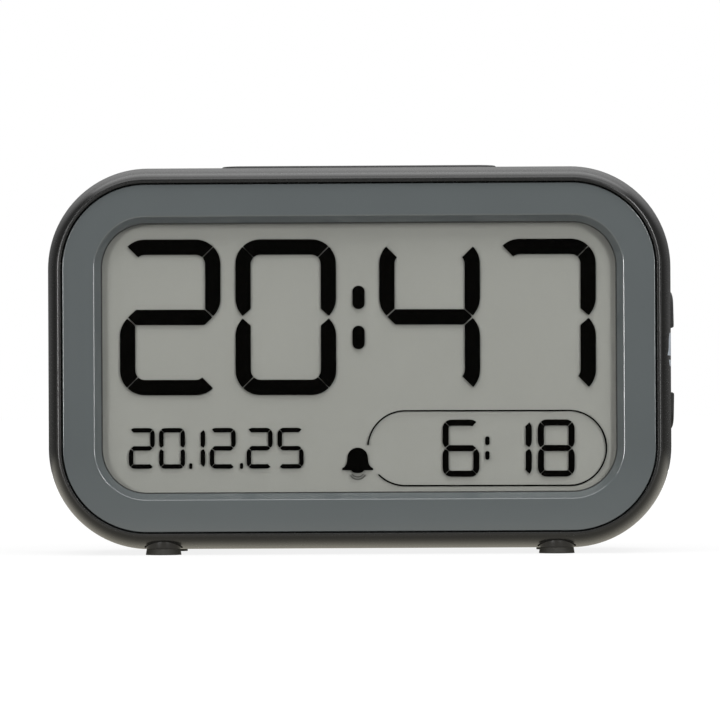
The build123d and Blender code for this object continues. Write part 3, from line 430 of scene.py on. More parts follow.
def grain_group():
    """Moulded or drawn surface: fine grain for height and gloss, broad mottle between two tints."""
    group, given, result = new_group(
        "surface_grain",
        [
            ("Place", "NodeSocketVector"),
            ("Dark", "NodeSocketColor"),
            ("Light", "NodeSocketColor"),
            ("Grain", "NodeSocketFloat"),
            ("Mottle", "NodeSocketFloat"),
            ("Smooth", "NodeSocketFloat"),
            ("Rough", "NodeSocketFloat"),
        ],
        [("Color", "NodeSocketColor"), ("Roughness", "NodeSocketFloat"), ("Height", "NodeSocketFloat")],
    )
    nodes, links = group.nodes, group.links
    fine = nodes.new("ShaderNodeTexNoise")
    fine.inputs["Detail"].default_value = grain_detail
    broad = nodes.new("ShaderNodeTexNoise")
    broad.inputs["Detail"].default_value = mottle_detail
    blend = nodes.new("ShaderNodeMix")
    blend.data_type = "RGBA"
    gloss = nodes.new("ShaderNodeMapRange")
    gloss.inputs["From Min"].default_value, gloss.inputs["From Max"].default_value = gloss_span
    for texture, scale in ((fine, "Grain"), (broad, "Mottle")):
        links.new(given.outputs["Place"], texture.inputs["Vector"])
        links.new(given.outputs[scale], texture.inputs["Scale"])
    links.new(broad.outputs["Fac"], blend.inputs["Factor"])
    links.new(given.outputs["Dark"], blend.inputs["A"])
    links.new(given.outputs["Light"], blend.inputs["B"])
    links.new(fine.outputs["Fac"], gloss.inputs["Value"])
    links.new(given.outputs["Smooth"], gloss.inputs["To Min"])
    links.new(given.outputs["Rough"], gloss.inputs["To Max"])
    links.new(blend.outputs["Result"], result.inputs["Color"])
    links.new(gloss.outputs["Result"], result.inputs["Roughness"])
    links.new(fine.outputs["Fac"], result.inputs["Height"])
    return group


surface_grain = grain_group()


def finish(name, dark, light, grain, mottle, gloss, bump, stretch=(1, 1, 1), **sockets):
    """Material on the shared grain.

    Tints are display values; grain and mottle are feature sizes in millimetres; gloss is the roughness range;
    bump is the relief in millimetres; other sockets are constants of the shader.
    """
    material = bpy.data.materials.new(name)
    material.use_nodes = True
    nodes, links = material.node_tree.nodes, material.node_tree.links
    shader = nodes["Principled BSDF"]
    place = nodes.new("ShaderNodeTexCoord")
    scale = nodes.new("ShaderNodeMapping")
    scale.inputs["Scale"].default_value = stretch
    texture = nodes.new("ShaderNodeGroup")
    texture.node_tree = surface_grain
    relief = nodes.new("ShaderNodeBump")
    relief.inputs["Strength"].default_value = 1.0
    relief.inputs["Distance"].default_value = bump * MM
    values = {
        "Dark": linear(dark),
        "Light": linear(light),
        "Grain": 1 / (grain * MM),
        "Mottle": 1 / (mottle * MM),
        "Smooth": gloss[0],
        "Rough": gloss[1],
    }
    for label, value in values.items():
        texture.inputs[label].default_value = value
    for label, value in sockets.items():
        shader.inputs[label.replace("_", " ")].default_value = value
    links.new(place.outputs["Object"], scale.inputs["Vector"])
    links.new(scale.outputs["Vector"], texture.inputs["Place"])
    links.new(texture.outputs["Color"], shader.inputs["Base Color"])
    links.new(texture.outputs["Roughness"], shader.inputs["Roughness"])
    links.new(texture.outputs["Height"], relief.inputs["Height"])
    links.new(relief.outputs["Normal"], shader.inputs["Normal"])
    return material


finishes = {
    "case_plastic": finish(
        "case_plastic", (24, 24, 23), (29, 29, 28), 0.35, 14, (0.22, 0.28), 0.00015, Specular_IOR_Level=0.5
    ),
    "bezel_plastic": finish(
        "bezel_plastic", (90, 95, 96), (94, 100, 101), 0.25, 18, (0.1, 0.17), 0.0001,
        Specular_IOR_Level=0.5, Coat_Weight=0.9, Coat_Roughness=0.06,
    ),
    "key_plastic": finish(
        "key_plastic", (18, 18, 18), (23, 23, 23), 0.35, 10, (0.36, 0.48), 0.003, Specular_IOR_Level=0.4
    ),
    "foot_rubber": finish(
        "foot_rubber", (46, 45, 41), (56, 55, 51), 0.35, 1.2, (0.6, 0.75), 0.03, (1, 1, 0.12), Specular_IOR_Level=0.4
    ),
    "clear_window": finish("clear_window", (10, 11, 11), (14, 15, 15), 0.2, 30, (0.05, 0.1), 0.0001, Alpha=0.03),
    "lcd_glass": finish(
        "lcd_glass", (16, 18, 16), (22, 24, 22), 0.15, 40, (0.3, 0.4), 0.0001, Alpha=0.03, Specular_IOR_Level=0.0
    ),
    "film": finish("film", (167, 168, 161), (173, 174, 167), 0.12, 25, (0.5, 0.65), 0.002, Specular_IOR_Level=0.2),
    "light_plastic": finish("light_plastic", (222, 226, 230), (232, 235, 238), 0.5, 9, (0.15, 0.3), 0.002),
    "white_plastic": finish("white_plastic", (226, 226, 222), (234, 234, 230), 0.4, 8, (0.45, 0.6), 0.006),
    "lamp": finish("lamp", (236, 230, 190), (244, 238, 204), 0.3, 2, (0.2, 0.3), 0.003),
    "strip_rubber": finish("strip_rubber", (120, 120, 122), (134, 134, 136), 0.25, 0.8, (0.65, 0.8), 0.01, (1, 8, 8)),
    "circuit_board": finish("circuit_board", (24, 92, 52), (38, 112, 66), 0.6, 2.2, (0.3, 0.45), 0.01),
    "black_resin": finish("black_resin", (14, 14, 15), (24, 24, 26), 0.8, 3, (0.12, 0.3), 0.02),
    "plunger_plastic": finish("plunger_plastic", (66, 67, 70), (76, 77, 80), 0.3, 2, (0.4, 0.55), 0.006),
    "can_metal": finish("can_metal", (196, 198, 200), (214, 216, 218), 0.12, 3, (0.22, 0.36), 0.003, Metallic=1.0),
    "screw_steel": finish("screw_steel", (178, 178, 182), (202, 202, 206), 0.1, 1.5, (0.25, 0.42), 0.004, Metallic=1.0),
    "sounder_brass": finish(
        "sounder_brass", (206, 178, 104), (222, 196, 124), 0.15, 4, (0.2, 0.38), 0.004, Metallic=1.0
    ),
    "cell_can": finish("cell_can", (92, 98, 106), (106, 112, 120), 0.2, 10, (0.25, 0.4), 0.003, Metallic=0.6),
    "contact_steel": finish(
        "contact_steel", (212, 214, 218), (230, 232, 234), 0.12, 2, (0.16, 0.32), 0.003, (1, 5, 1), Metallic=1.0
    ),
    "red_lead": finish("red_lead", (176, 24, 20), (194, 34, 28), 0.3, 3, (0.4, 0.55), 0.006),
    "black_lead": finish("black_lead", (24, 24, 25), (34, 34, 35), 0.3, 3, (0.4, 0.55), 0.006),
    "ribbon": finish("ribbon", (172, 176, 182), (188, 192, 198), 0.4, 1.2, (0.4, 0.5), 0.02, (3, 1, 1)),
}
mark_black = finish("display_mark", (4, 4, 3), (7, 6, 5), 0.2, 6, (0.5, 0.65), 0.001, Specular_IOR_Level=0.0)
# Dark grey of the window tape's inner edge, which shows just inside the opening: painted shade along the window's edge
border_painted_shade = finish("border_painted_shade", (58, 59, 58), (64, 65, 64), 0.2, 5, (0.4, 0.5), 0.001, Specular_IOR_Level=0.1)
collar_black = finish("collar_black", (26, 25, 24), (32, 31, 30), 0.3, 4, (0.16, 0.24), 0.002, Specular_IOR_Level=0.5)
ghost_mark = finish(
    "ghost_mark", (20, 20, 18), (28, 28, 25), 0.2, 6, (0.5, 0.65), 0.001, Alpha=0.16, Specular_IOR_Level=0.0
)
print_grey = finish("side_print", (206, 216, 226), (214, 224, 234), 0.2, 3, (0.5, 0.62), 0.003)

for part in frame["record"]["subparts"]:
    node = frame["nodes"][part["node"]]
    node.data.materials.clear()
    node.data.materials.append(finishes[part["material_slot"]])


# Front case


def swell(depth):
    """Inset of the case's outside at a depth: a quarter ellipse from the rim, then none."""
    share = np.clip((swell_depth - np.asarray(depth)) / swell_depth, 0, 1)
    return swell_inset * (1 - np.sqrt(1 - share**2))


def front_rise(profile):
    """Crown of the top and bottom: grows with the swell, stays, then eases to none at the split; outside only."""
    depth, inset = profile.T
    grown = crown * (1 - swell(depth) / swell_inset)
    ease = 0.5 + 0.5 * np.cos(math.pi * np.clip((depth - crown_end) / (split_depth - crown_end), 0, 1))
    outside = inset <= swell(depth) + outside_slack
    return np.where(outside, grown * ease, 0.0)


def front_profile():
    """Front case wall: swelling outside, rounded rim, bezel pocket, display flange and rear rebate."""
    outside = arc((swell_depth, swell_inset), (swell_depth, swell_inset), 270, 180, 36)
    rim = rounded_vertex((0, swell_inset), (0, rim_inset), (rim_slope_depth, rim_inner), rim_round)
    inside = [
        (rim_slope_depth, rim_inner),
        (flange_front, rim_inner),
        (flange_front, flange_inset),
        (board_front, flange_inset),
        (board_front, wall),
        (split_depth - lap_length, wall),
        (split_depth - lap_length, lap_rebate),
        (split_depth, lap_rebate),
        (split_depth, split_edge),
        (split_depth - split_edge, 0),
    ]
    run = np.linspace(split_depth - split_margin, swell_depth, 24, endpoint=False)
    side = np.stack([run, np.zeros_like(run)], axis=-1)
    return np.concatenate([outside, rim, inside, side])


def key_outline(grow=0.0, round_steps=24, run_steps=9):
    """Upper side key in y and z about its own middle: straight below, a half circle above."""
    radius = key_width / 2 + grow
    low = -key_height / 2 - grow
    spring = key_height / 2 - key_width / 2
    top = arc((0, spring), (radius, radius), 0, 180, round_steps)
    down = np.linspace(spring, low, run_steps + 1)[1:]
    across = np.linspace(-radius, radius, run_steps + 1)[1:]
    up = np.linspace(low, spring, run_steps + 1)[1:-1]
    left = np.stack([np.full_like(down, -radius), down], axis=-1)
    base = np.stack([across, np.full_like(across, low)], axis=-1)
    right = np.stack([np.full_like(up, radius), up], axis=-1)
    return np.concatenate([top, left, base, right])


def key_place(level):
    """Middle of the upper or lower side key in y and z, and the way its round end points."""
    return np.array([front_y + key_middle_depth, key_middle_z + level * key_spacing / 2]), np.array([1, level])


def front_openings():
    """Cutters for the snooze bar's opening, the side key holes and the front foot sockets."""
    bar = rounded_loop(bar_length, bar_depth, bar_corner, key_gap) + (0, front_y + bar_middle_depth)
    cutters = [loft(plan_points(np.stack([bar, bar]), [top_z - 2 * wall, top_z + wall]))]
    for level in (1, -1):
        middle, way = key_place(level)
        hole = key_outline(key_gap) * way + middle
        cutters.append(loft(side_points(np.stack([hole, hole]), [half_width - 2 * wall, half_width + wall])))
    for side in (-1, 1):
        spot = (side * foot_x, front_y + foot_depths[0], 0)
        cutters.append(turned([(socket_radius, -1), (socket_radius, foot_top)], spot, 2))
    return cutters


def front_posts():
    """Posts for the rear cover's screws and the small boards, and the pads over the foot sockets."""
    shapes = []
    for side in (-1, 1):
        for level in (-1, 1):
            x, z = case_post_place
            seat = (side * x, front_y + case_post_back, middle_z + level * z)
            reach = board_front - case_post_back
            shapes.append(post(seat, 1, reach, case_post_radius, case_post_bore, case_post_bore_depth))
        seat = (side_board_x, front_y + key_middle_depth, key_middle_z + side * side_post_spacing / 2)
        shapes.append(post(seat, 0, board_post_length, board_post_radius, board_post_bore, board_post_bore_depth))
        seat = (side * snooze_post_x, front_y + bar_middle_depth, snooze_board_z)
        shapes.append(post(seat, 2, board_post_length, board_post_radius, board_post_bore, board_post_bore_depth))
        spot = (side * foot_x, front_y + foot_depths[0], 0)
        shapes.append(turned([(pad_radius, foot_top), (pad_radius, pad_top)], spot, 2))
    return shapes


shell_profile = front_profile()
front_shell = mesh_object("front_shell", [case_ring(shell_profile, front_rise(shell_profile))])
carve(front_shell, front_openings())
add_to(front_shell, front_posts())
shade(front_shell.data, smooth_angle)
weigh_normals(front_shell)
dress(front_shell, "clock", "case_plastic", ["front_case"])

smoothed_copy("rear_shell", "rear_cover", "clock", "case_plastic")
smoothed_copy("door_panel", "battery_door", "door", "case_plastic")
smoothed_copy("time_cap", "time_key", "time_set", "key_plastic")
smoothed_copy("alarm_cap", "alarm_key", "alarm_set", "key_plastic")
smoothed_copy("alarm_knob", "alarm_slider", "alarm_switch", "key_plastic")


# Feet

foot_places = [(side * foot_x, front_y + depth, 0) for side in (-1, 1) for depth in foot_depths]


def foot_pad(place):
    """Rubber pad turned from a profile: flared to the table with a small rounded edge."""
    wide = foot_radius + foot_flare
    heel = arc((wide - foot_edge, foot_edge), (foot_edge, foot_edge), 270, 360, 4)
    return turned(np.concatenate([heel, [(foot_radius, foot_pad_top)]]), place, 2)


def foot_collar(place):
    """Smooth upper part of a foot that fills its socket, rounded where it meets the pad."""
    heel = arc((collar_radius - collar_edge, foot_pad_top + collar_edge), (collar_edge, collar_edge), 270, 360, 4)
    return turned(np.concatenate([heel, [(collar_radius, foot_top)]]), place, 2)


feet = mesh_object("feet", [foot_pad(place) for place in foot_places])
shade(feet.data, foot_smooth_angle)
dress(feet, "clock", "foot_rubber", ["rubber_feet"])

foot_collars = mesh_object("foot_collars", [foot_collar(place) for place in foot_places])
shade(foot_collars.data, foot_smooth_angle)
dress(foot_collars, "clock", "foot_rubber", look=collar_black)


# Bezel and window


def bezel_profile():
    """Bezel frame: flat face with rounded edges, inner chamfer, short lip and the skirt behind its edge."""
    face = ((bezel_face, bezel_inset), (bezel_face, window_inset))
    outer = rounded_vertex((flange_front, bezel_inset), *face, bezel_edge)
    inner = rounded_vertex(*face, (chamfer_end, opening_inset), bezel_round)
    rest = [
        (chamfer_end, opening_inset),
        (plate_back, opening_inset),
        (plate_back, skirt_inset),
        (flange_front, skirt_inset),
        (flange_front, bezel_inset),
    ]
    return np.concatenate([outer, inner, rest])


def bezel_posts():
    """Posts behind the frame that take the display screws."""
    x, z = bezel_post_place
    seats = [(side * x, front_y + board_front, middle_z + level * z) for side in (-1, 1) for level in (-1, 1)]
    reach = plate_back - board_front
    return [post(seat, 1, reach, bezel_post_radius, board_post_bore, bezel_post_bore_depth) for seat in seats]


bezel_frame = mesh_object("bezel_frame", [case_ring(bezel_profile()), *bezel_posts()])
shade(bezel_frame.data, smooth_angle)
weigh_normals(bezel_frame)
dress(bezel_frame, "clock", "bezel_plastic", ["bezel"])


def plate(flat, front, back):
    """Front-view outline made solid between two depths."""
    return loft(front_points(np.stack([flat, flat]), [front, back]))


# The ring stands for the real window tape, and it reaches just inside the opening so that its dark grey edge shows
# there: painted shade where the recess shades the display's edge
border_profile = np.array(
    [
        (border_front, border_outer),
        (border_front, border_inner),
        (border_back, border_inner),
        (border_back, border_outer),
    ]
)
window_border = mesh_object("window_border", [case_ring(border_profile)])
shade(window_border.data, smooth_angle)
dress(window_border, "clock", "film", ["window_tape"], border_painted_shade)

lens_outline = rounded_loop(*case_outline, -lens_inset)
lens = mesh_object("lens", [plate(lens_outline, lens_front, lens_back)])
shade(lens.data, smooth_angle)
dress(lens, "clock", "clear_window", ["window_lens"])

cell_outline = rounded_loop(cell_width, cell_height, cell_corner, corner_steps=4)
display_cell = mesh_object("display_cell", [plate(cell_outline, cell_front, cell_back)])
shade(display_cell.data, smooth_angle)
dress(display_cell, "clock", "lcd_glass", ["lcd_front_polariser", "lcd_front_glass", "lcd_rear_glass"])


# Display marks: digits of seven strokes, dots, the bell and the line round the alarm time

lit_strokes = {
    "0": "abcdef",
    "1": "bc",
    "2": "abged",
    "4": "fgbc",
    "5": "afgcd",
    "6": "afgedc",
    "7": "abc",
    "8": "abcdefg",
}

# Shares: of a stroke's gap at the waist, of a dot's width for its round, and of the bell's height and width
waist_gap = 1.7
waist_inner_gap = 0.8
dot_round = 0.49
bell_lip = 0.09
bell_shoulder = 0.56
bell_flare = 0.12
bell_body = 0.66


def top_stroke(width, height, stroke, radius, gap):
    """Top stroke of a digit: the run between two corner arcs, each cut at half its turn."""
    x = width / 2 - radius
    z = height / 2 - radius
    trim = math.degrees(gap / 2 / radius)
    inner = radius - stroke
    trim_in = math.degrees(gap / 2 / inner)
    outside = [arc((-x, z), (radius, radius), 135 - trim, 90, 10), arc((x, z), (radius, radius), 90, 45 + trim, 10)]
    inside = [arc((x, z), (inner, inner), 45 + trim_in, 90, 6), arc((-x, z), (inner, inner), 90, 135 - trim_in, 6)]
    return np.concatenate(outside + inside)


def right_stroke(width, height, stroke, radius, gap):
    """Upper right stroke: from the corner's half turn down to a half turn inwards at the middle."""
    x = width / 2 - radius
    z = height / 2 - radius
    trim = math.degrees(gap / 2 / radius)
    inner = radius - stroke
    trim_in = math.degrees(gap / 2 / inner)
    lower = radius * math.sin(math.pi / 4) + gap * waist_gap
    outside = [arc((x, z), (radius, radius), 45 - trim, 0, 10), arc((x, lower), (radius, radius), 0, -45, 10)]
    inner_end = [(width / 2 - stroke, stroke / 2 + gap * waist_inner_gap)]
    inside = arc((x, z), (inner, inner), 0, 45 - trim_in, 6)
    return np.concatenate([*outside, inner_end, inside])


def middle_stroke(width, stroke, radius, gap):
    """Middle stroke, pointed at both ends."""
    tip = width / 2 - radius * (1 - math.sin(math.pi / 4)) - gap
    shoulder = width / 2 - stroke - gap
    half = stroke / 2
    return np.array([(tip, 0), (shoulder, half), (-shoulder, half), (-tip, 0), (-shoulder, -half), (shoulder, -half)])


def digit(figure, place, width, height, stroke, radius, gap):
    """Outlines of a figure's lit strokes; the other strokes mirror the top and upper right ones."""
    top = top_stroke(width, height, stroke, radius, gap)
    right = right_stroke(width, height, stroke, radius, gap)
    strokes = {
        "a": top,
        "b": right,
        "c": right * (1, -1),
        "d": top * (1, -1),
        "e": right * (-1, -1),
        "f": right * (-1, 1),
        "g": middle_stroke(width, stroke, radius, gap),
    }
    return [strokes[label] + place for label in lit_strokes[figure]]


def row_of_digits(figures, places, height_place, size):
    """Outlines of a row of figures at x places."""
    return [flat for figure, x in zip(figures, places) for flat in digit(figure, (x, height_place), *size)]


def pill(width, height, place):
    """Dot with rounded ends."""
    return rounded_loop(width, height, width * dot_round, corner_steps=8, side_steps=2) + place


def band(path, width):
    """Narrow strip along a path: the path moved half a width to each side along its normals."""
    along = np.gradient(path, axis=0)
    across = np.stack([-along[:, 1], along[:, 0]], axis=-1) / np.linalg.norm(along, axis=1)[:, None]
    return np.concatenate([path + across * width / 2, (path - across * width / 2)[::-1]])


def bell_outline(width, height):
    """Bell about the middle of its base: half width falls from the lip along a decaying flare to a round dome."""
    lip = bell_lip * height
    shoulder = bell_shoulder * height
    body = bell_body * width / 2
    flare = np.linspace(lip, shoulder, 14)
    flare_half = body + (width / 2 - body) * np.exp(-(flare - lip) / (bell_flare * height))
    dome = arc((0, shoulder), (body, height - shoulder), 0, 90, 14)
    right = np.concatenate([[(width / 2, 0)], np.stack([flare_half, flare], axis=-1), dome[1:]])
    return np.concatenate([right, (right * (-1, 1))[::-1][1:]])


def clapper_outline(width, drop):
    """Half round below the bell's base."""
    return arc((0, 0), (width / 2, drop), 180, 360, 14)


def tilted(flat):
    """Display outline turned by the small angle at which the glass sits in the case."""
    cosine, sine = math.cos(display_tilt), math.sin(display_tilt)
    return flat @ np.array([(cosine, sine), (-sine, cosine)])


def add_marks(name, outlines, look):
    """Display marks as thin plates between the two glasses."""
    piece = mesh_object(name, [plate(tilted(flat), mark_front, mark_back) for flat in outlines])
    dress(piece, "clock", "lcd_glass", look=look)


# A digit's width, height, stroke, corner radius and gap; places are from the case's middle; angles are in degrees
time_size = (20.6, 31.86, 3.14, 5.1, 0.15)
time_places = (-38.62, -14.98, 14.44, 38.1)
time_z = 8.29
time_dot = (2.51, 4.8)
time_dot_places = ((-0.1, 12.3), (-0.1, 4.11))
date_size = (5.32, 8.34, 0.92, 1.3, 0.08)
date_places = (-44.48, -38.28, -34.17, -27.92, -20.38, -14.04)
date_z = -18.5
date_dot = (0.67, 1.23)
date_dot_places = ((-34.46, -22.13), (-24.08, -22.13))
alarm_size = (7.52, 11.68, 1.25, 1.85, 0.09)
alarm_places = (20.78, 31.5, 40.25)
alarm_z = -18.57
alarm_dot = (0.91, 1.8)
alarm_dot_places = ((26.18, -17.05), (26.18, -20.05))
ring_radius = 7.65
ring_left = 9.4
ring_right = 42.85
ring_line = 0.33
ring_start = 224
ring_end = 175
bell_place = (-0.34, -23.04)
bell_size = (6.35, 4.62)
bell_clapper = (2.55, 0.6)
unlit_radii = (1.38, 1.84)
unlit_line = 0.16
unlit_span = (212, 328)

time_marks = row_of_digits("2047", time_places, time_z, time_size)
time_marks += [pill(*time_dot, place) for place in time_dot_places]
add_marks("time_marks", time_marks, mark_black)

date_marks = row_of_digits("201225", date_places, date_z, date_size)
date_marks += [pill(*date_dot, place) for place in date_dot_places]
add_marks("date_marks", date_marks, mark_black)

alarm_marks = row_of_digits("618", alarm_places, alarm_z, alarm_size)
alarm_marks += [pill(*alarm_dot, place) for place in alarm_dot_places]
add_marks("alarm_marks", alarm_marks, mark_black)

ring_radii = (ring_radius, ring_radius)
ring_path = np.concatenate(
    [
        arc((ring_left, alarm_z), ring_radii, ring_start, 270, 24),
        arc((ring_right, alarm_z), ring_radii, -90, 90, 72),
        arc((ring_left, alarm_z), ring_radii, 90, ring_end, 36),
    ]
)
bell_marks = [bell_outline(*bell_size) + bell_place, clapper_outline(*bell_clapper) + bell_place]
add_marks("alarm_frame", [band(ring_path, ring_line), *bell_marks], mark_black)
unlit_arcs = [band(arc(bell_place, (radius, radius), *unlit_span, 24), unlit_line) for radius in unlit_radii]
add_marks("unlit_arcs", unlit_arcs, ghost_mark)


# Snooze bar


def bar_shapes():
    """Bar as loops from the hollow's ceiling, round its flange and up to its rounded top, with two stems."""
    edge = arc((-bar_edge, bar_top - bar_edge), (bar_edge, bar_edge), 0, 90, 8)
    grow = [-bar_wall, -bar_wall, bar_flange_reach, bar_flange_reach, 0, *edge[:, 0]]
    height = [bar_top - bar_wall, bar_flange_low, bar_flange_low, bar_flange_top, bar_flange_top, *edge[:, 1]]
    loops = rounded_loop(bar_length, bar_depth, bar_corner, np.array(grow)) + (0, front_y + bar_middle_depth)
    shapes = [loft(plan_points(loops, np.array(height)))]
    for side in (-1, 1):
        spot = (side * bar_stem_x, front_y + bar_middle_depth, 0)
        stem_top = bar_top - bar_wall + bar_stem_overlap
        shapes.append(turned([(bar_stem_radius, bar_stem_low), (bar_stem_radius, stem_top)], spot, 2))
    return shapes


snooze_cap = mesh_object("snooze_cap", bar_shapes())
shade(snooze_cap.data, smooth_angle)
weigh_normals(snooze_cap)
dress(snooze_cap, "snooze", "key_plastic", ["snooze_bar"])


# Side keys


def key_crest_at(z):
    """Height of a side key's face along its length: chamfer, gentle slope, then a quarter ellipse into the wall."""
    low = -key_height / 2
    ramp_start = key_height / 2 - key_ramp
    fall = (z - low) / (ramp_start - low) * key_slope
    flat = key_crest - fall - np.clip(low + key_chamfer - z, 0, None)
    share = np.clip((z - ramp_start) / key_ramp, 0, 1)
    curve = half_width + (key_crest - key_slope - half_width) * np.sqrt(1 - share**2)
    return np.where(z > ramp_start, curve, flat)


def key_shapes(level):
    """Side key as loops: flange, straight wall, then the outline shrinking to its middle over the crest's curve."""
    middle, way = key_place(level)
    outline = key_outline()
    shrink = key_shares[:, None, None]
    face = outline * shrink
    inside = (1 - key_shares) * key_width / 2
    drop = key_edge - np.sqrt(np.clip(key_edge**2 - np.clip(key_edge - inside, 0, None) ** 2, 0, None))
    crest = np.maximum(key_crest_at(face[..., 1]) - drop[:, None], half_width - key_sink)
    base = np.stack([key_outline(key_flange_reach), key_outline(key_flange_reach), outline])
    base_x = np.broadcast_to(np.array([key_flange_in, key_flange_out, key_flange_out])[:, None], base.shape[:-1])
    flat = np.concatenate([base, face]) * way + middle
    points = np.concatenate([np.concatenate([base_x, crest])[..., None], flat], axis=-1)
    stem_reach = key_flange_in + key_stem_overlap
    stem = turned([(key_stem_radius, key_stem_end), (key_stem_radius, stem_reach)], (0, *middle), 0)
    return [loft(points), stem]


for label, level in (("up", 1), ("down", -1)):
    cap = mesh_object(f"key_{label}_cap", key_shapes(level))
    shade(cap.data, smooth_angle)
    weigh_normals(cap)
    dress(cap, f"key_{label}", "key_plastic", [f"side_key_{label}"])


# Bell printed on the right side between the keys

print_width = 7.1
print_height = 4.75
print_depth = 6.4
print_points = 160
print_base = 40.25
print_lift = 0.02
print_clapper = (4.2, 1.4)
print_clapper_gap = 0.85


def evenly_spaced(flat, count):
    """Closed outline at points evenly spaced along its length."""
    closed = np.concatenate([flat, flat[:1]])
    along = np.concatenate([[0], np.cumsum(np.linalg.norm(np.diff(closed, axis=0), axis=1))])
    places = np.linspace(0, along[-1], count, endpoint=False)
    return np.stack([np.interp(places, along, closed[:, axis]) for axis in (0, 1)], axis=-1)


def side_print_shape(flat, lift):
    """Outline in depth and height wrapped on the right wall, drawn in towards its middle to close the patch."""
    middle = flat.mean(axis=0)
    patch = middle + (flat - middle) * print_shares[:, None, None]
    x = half_width - swell(patch[..., 0]) + lift
    under = np.stack([half_width - swell(flat[:, 0]) - lift, front_y + flat[:, 0], flat[:, 1]], axis=-1)
    over = np.stack([x, front_y + patch[..., 0], patch[..., 1]], axis=-1)
    return loft(np.concatenate([under[None], over]))


bell_flat = bell_outline(print_width, print_height) + (print_depth, print_base)
clapper_flat = clapper_outline(*print_clapper) + (print_depth, print_base - print_clapper_gap)
print_outlines = [evenly_spaced(flat, print_points) for flat in (bell_flat, clapper_flat)]
side_bell = mesh_object("side_bell", [side_print_shape(flat, print_lift) for flat in print_outlines])
shade(side_bell.data, print_smooth_angle)
dress(side_bell, "clock", "key_plastic", look=print_grey)


# Floor, light and camera

# Floor: half its width in millimetres, its tint, roughness, lift to white, and the warm tint of its glow for glossy
# rays, a painted warm reflection on the object's underside
floor_reach = 9000.0
floor_tint = 0.17
floor_roughness = 0.9
floor_lift = 0.855
warm_reflection_glow = (1.0, 0.95, 0.8, 1.0)

# Distances in metres over which the lift grows to one, and over which the floor's glow for glossy rays, a painted
# reflection, falls
lift_reach = (0.2, 1.2)
mirror_reach = (0.15, 0.36)
mirror_share = (0.62, 0.04)

# World: its level as a light, and the share that is mirrored as a direction nears high behind the object
world_level = 0.12
high_behind = (0, 0.6, 0.8)
near_high_behind = (0.6, 0.97)
high_behind_share = (0.06, 0.8)

# Studio lights: place, aim and size in metres, and power in watts
studio_lights = {
    "overhead": ((0.0, 0.25, 0.8), (0, 0.251, 0), (1.2, 0.9), 4.6),
    "overhead_front": ((0.0, -0.5, 0.8), (0, -0.499, 0), (1.2, 0.6), 5.8),
    "front_left": ((-0.53, -1.09, 0.075), (0, 0, 0.075), (0.34, 0.13), 3.2),
    "front_right": ((0.55, -1.09, 0.075), (0, 0, 0.075), (0.34, 0.13), 1.5),
    "high_right": ((0.47, -1.05, 0.38), (0, 0, 0.04), (0.16, 0.36), 3.8),
    "high_left": ((-0.5, -1.06, 0.27), (0, 0, 0.04), (0.1, 0.2), 0.7),
    "side_left": ((-1.12, -0.5, 0.1), (0, 0, 0.1), (0.5, 0.18), 0.25),
    "side_right": ((1.12, -0.5, 0.1), (0, 0, 0.1), (0.5, 0.18), 0.25),
    "behind": ((0.0, 1.3, 0.04), (0, 0, 0.04), (0.24, 0.06), 3.0),
}


def ramp(nodes, links, value, span, levels):
    """Smooth step from one level to another while a value runs over a span."""
    step = nodes.new("ShaderNodeMapRange")
    step.interpolation_type = "SMOOTHSTEP"
    for label, level in zip(("From Min", "From Max", "To Min", "To Max"), (*span, *levels)):
        step.inputs[label].default_value = level
    links.new(value, step.inputs["Value"])
    return step.outputs["Result"]


def shown_share(nodes, links, mirrored):
    """One for camera and transmission rays, the mirrored share for glossy rays, and none for the rest."""
    path = nodes.new("ShaderNodeLightPath")
    seen = nodes.new("ShaderNodeMath")
    seen.operation = "MULTIPLY"
    links.new(path.outputs["Is Glossy Ray"], seen.inputs[0])
    links.new(mirrored, seen.inputs[1])
    total = seen.outputs[0]
    for label in ("Is Camera Ray", "Is Transmission Ray"):
        largest = nodes.new("ShaderNodeMath")
        largest.operation = "MAXIMUM"
        links.new(total, largest.inputs[0])
        links.new(path.outputs[label], largest.inputs[1])
        total = largest.outputs[0]
    return total


def white_for_camera(material, base, lift):
    """Floor that takes the shadow and is lifted to white for the camera; near the object only it also glows warm for
    glossy rays, a painted warm reflection.
    """
    material.use_nodes = True
    nodes, links = material.node_tree.nodes, material.node_tree.links
    shader = nodes["Principled BSDF"]
    shader.inputs["Base Color"].default_value = (base, base, base, 1)
    shader.inputs["Roughness"].default_value = floor_roughness
    shader.inputs["Specular IOR Level"].default_value = 0.0
    path = nodes.new("ShaderNodeLightPath")
    # Warm glow that only reflections see: painted reflection on the object's underside, partly on top of the real lit
    # floor
    tint = nodes.new("ShaderNodeMix")
    tint.data_type = "RGBA"
    tint.inputs["A"].default_value = (1, 1, 1, 1)
    tint.inputs["B"].default_value = warm_reflection_glow
    links.new(path.outputs["Is Glossy Ray"], tint.inputs["Factor"])
    links.new(tint.outputs["Result"], shader.inputs["Emission Color"])
    place = nodes.new("ShaderNodeTexCoord")
    distance = nodes.new("ShaderNodeVectorMath")
    distance.operation = "LENGTH"
    links.new(place.outputs["Object"], distance.inputs[0])
    away = distance.outputs["Value"]
    lifted = nodes.new("ShaderNodeMath")
    lifted.operation = "MULTIPLY"
    links.new(ramp(nodes, links, away, lift_reach, (lift, 1.0)), lifted.inputs[0])
    mirrored = ramp(nodes, links, away, mirror_reach, mirror_share)
    links.new(shown_share(nodes, links, mirrored), lifted.inputs[1])
    links.new(lifted.outputs[0], shader.inputs["Emission Strength"])


floor_corners = np.array([(-1, -1), (1, -1), (1, 1), (-1, 1)]) * floor_reach
floor = mesh_object("floor", [(plan_points(floor_corners, 0.0), [np.arange(4)[None]])])
floor_white = bpy.data.materials.new("floor_white")
white_for_camera(floor_white, floor_tint, floor_lift)
floor.data.materials.append(floor_white)


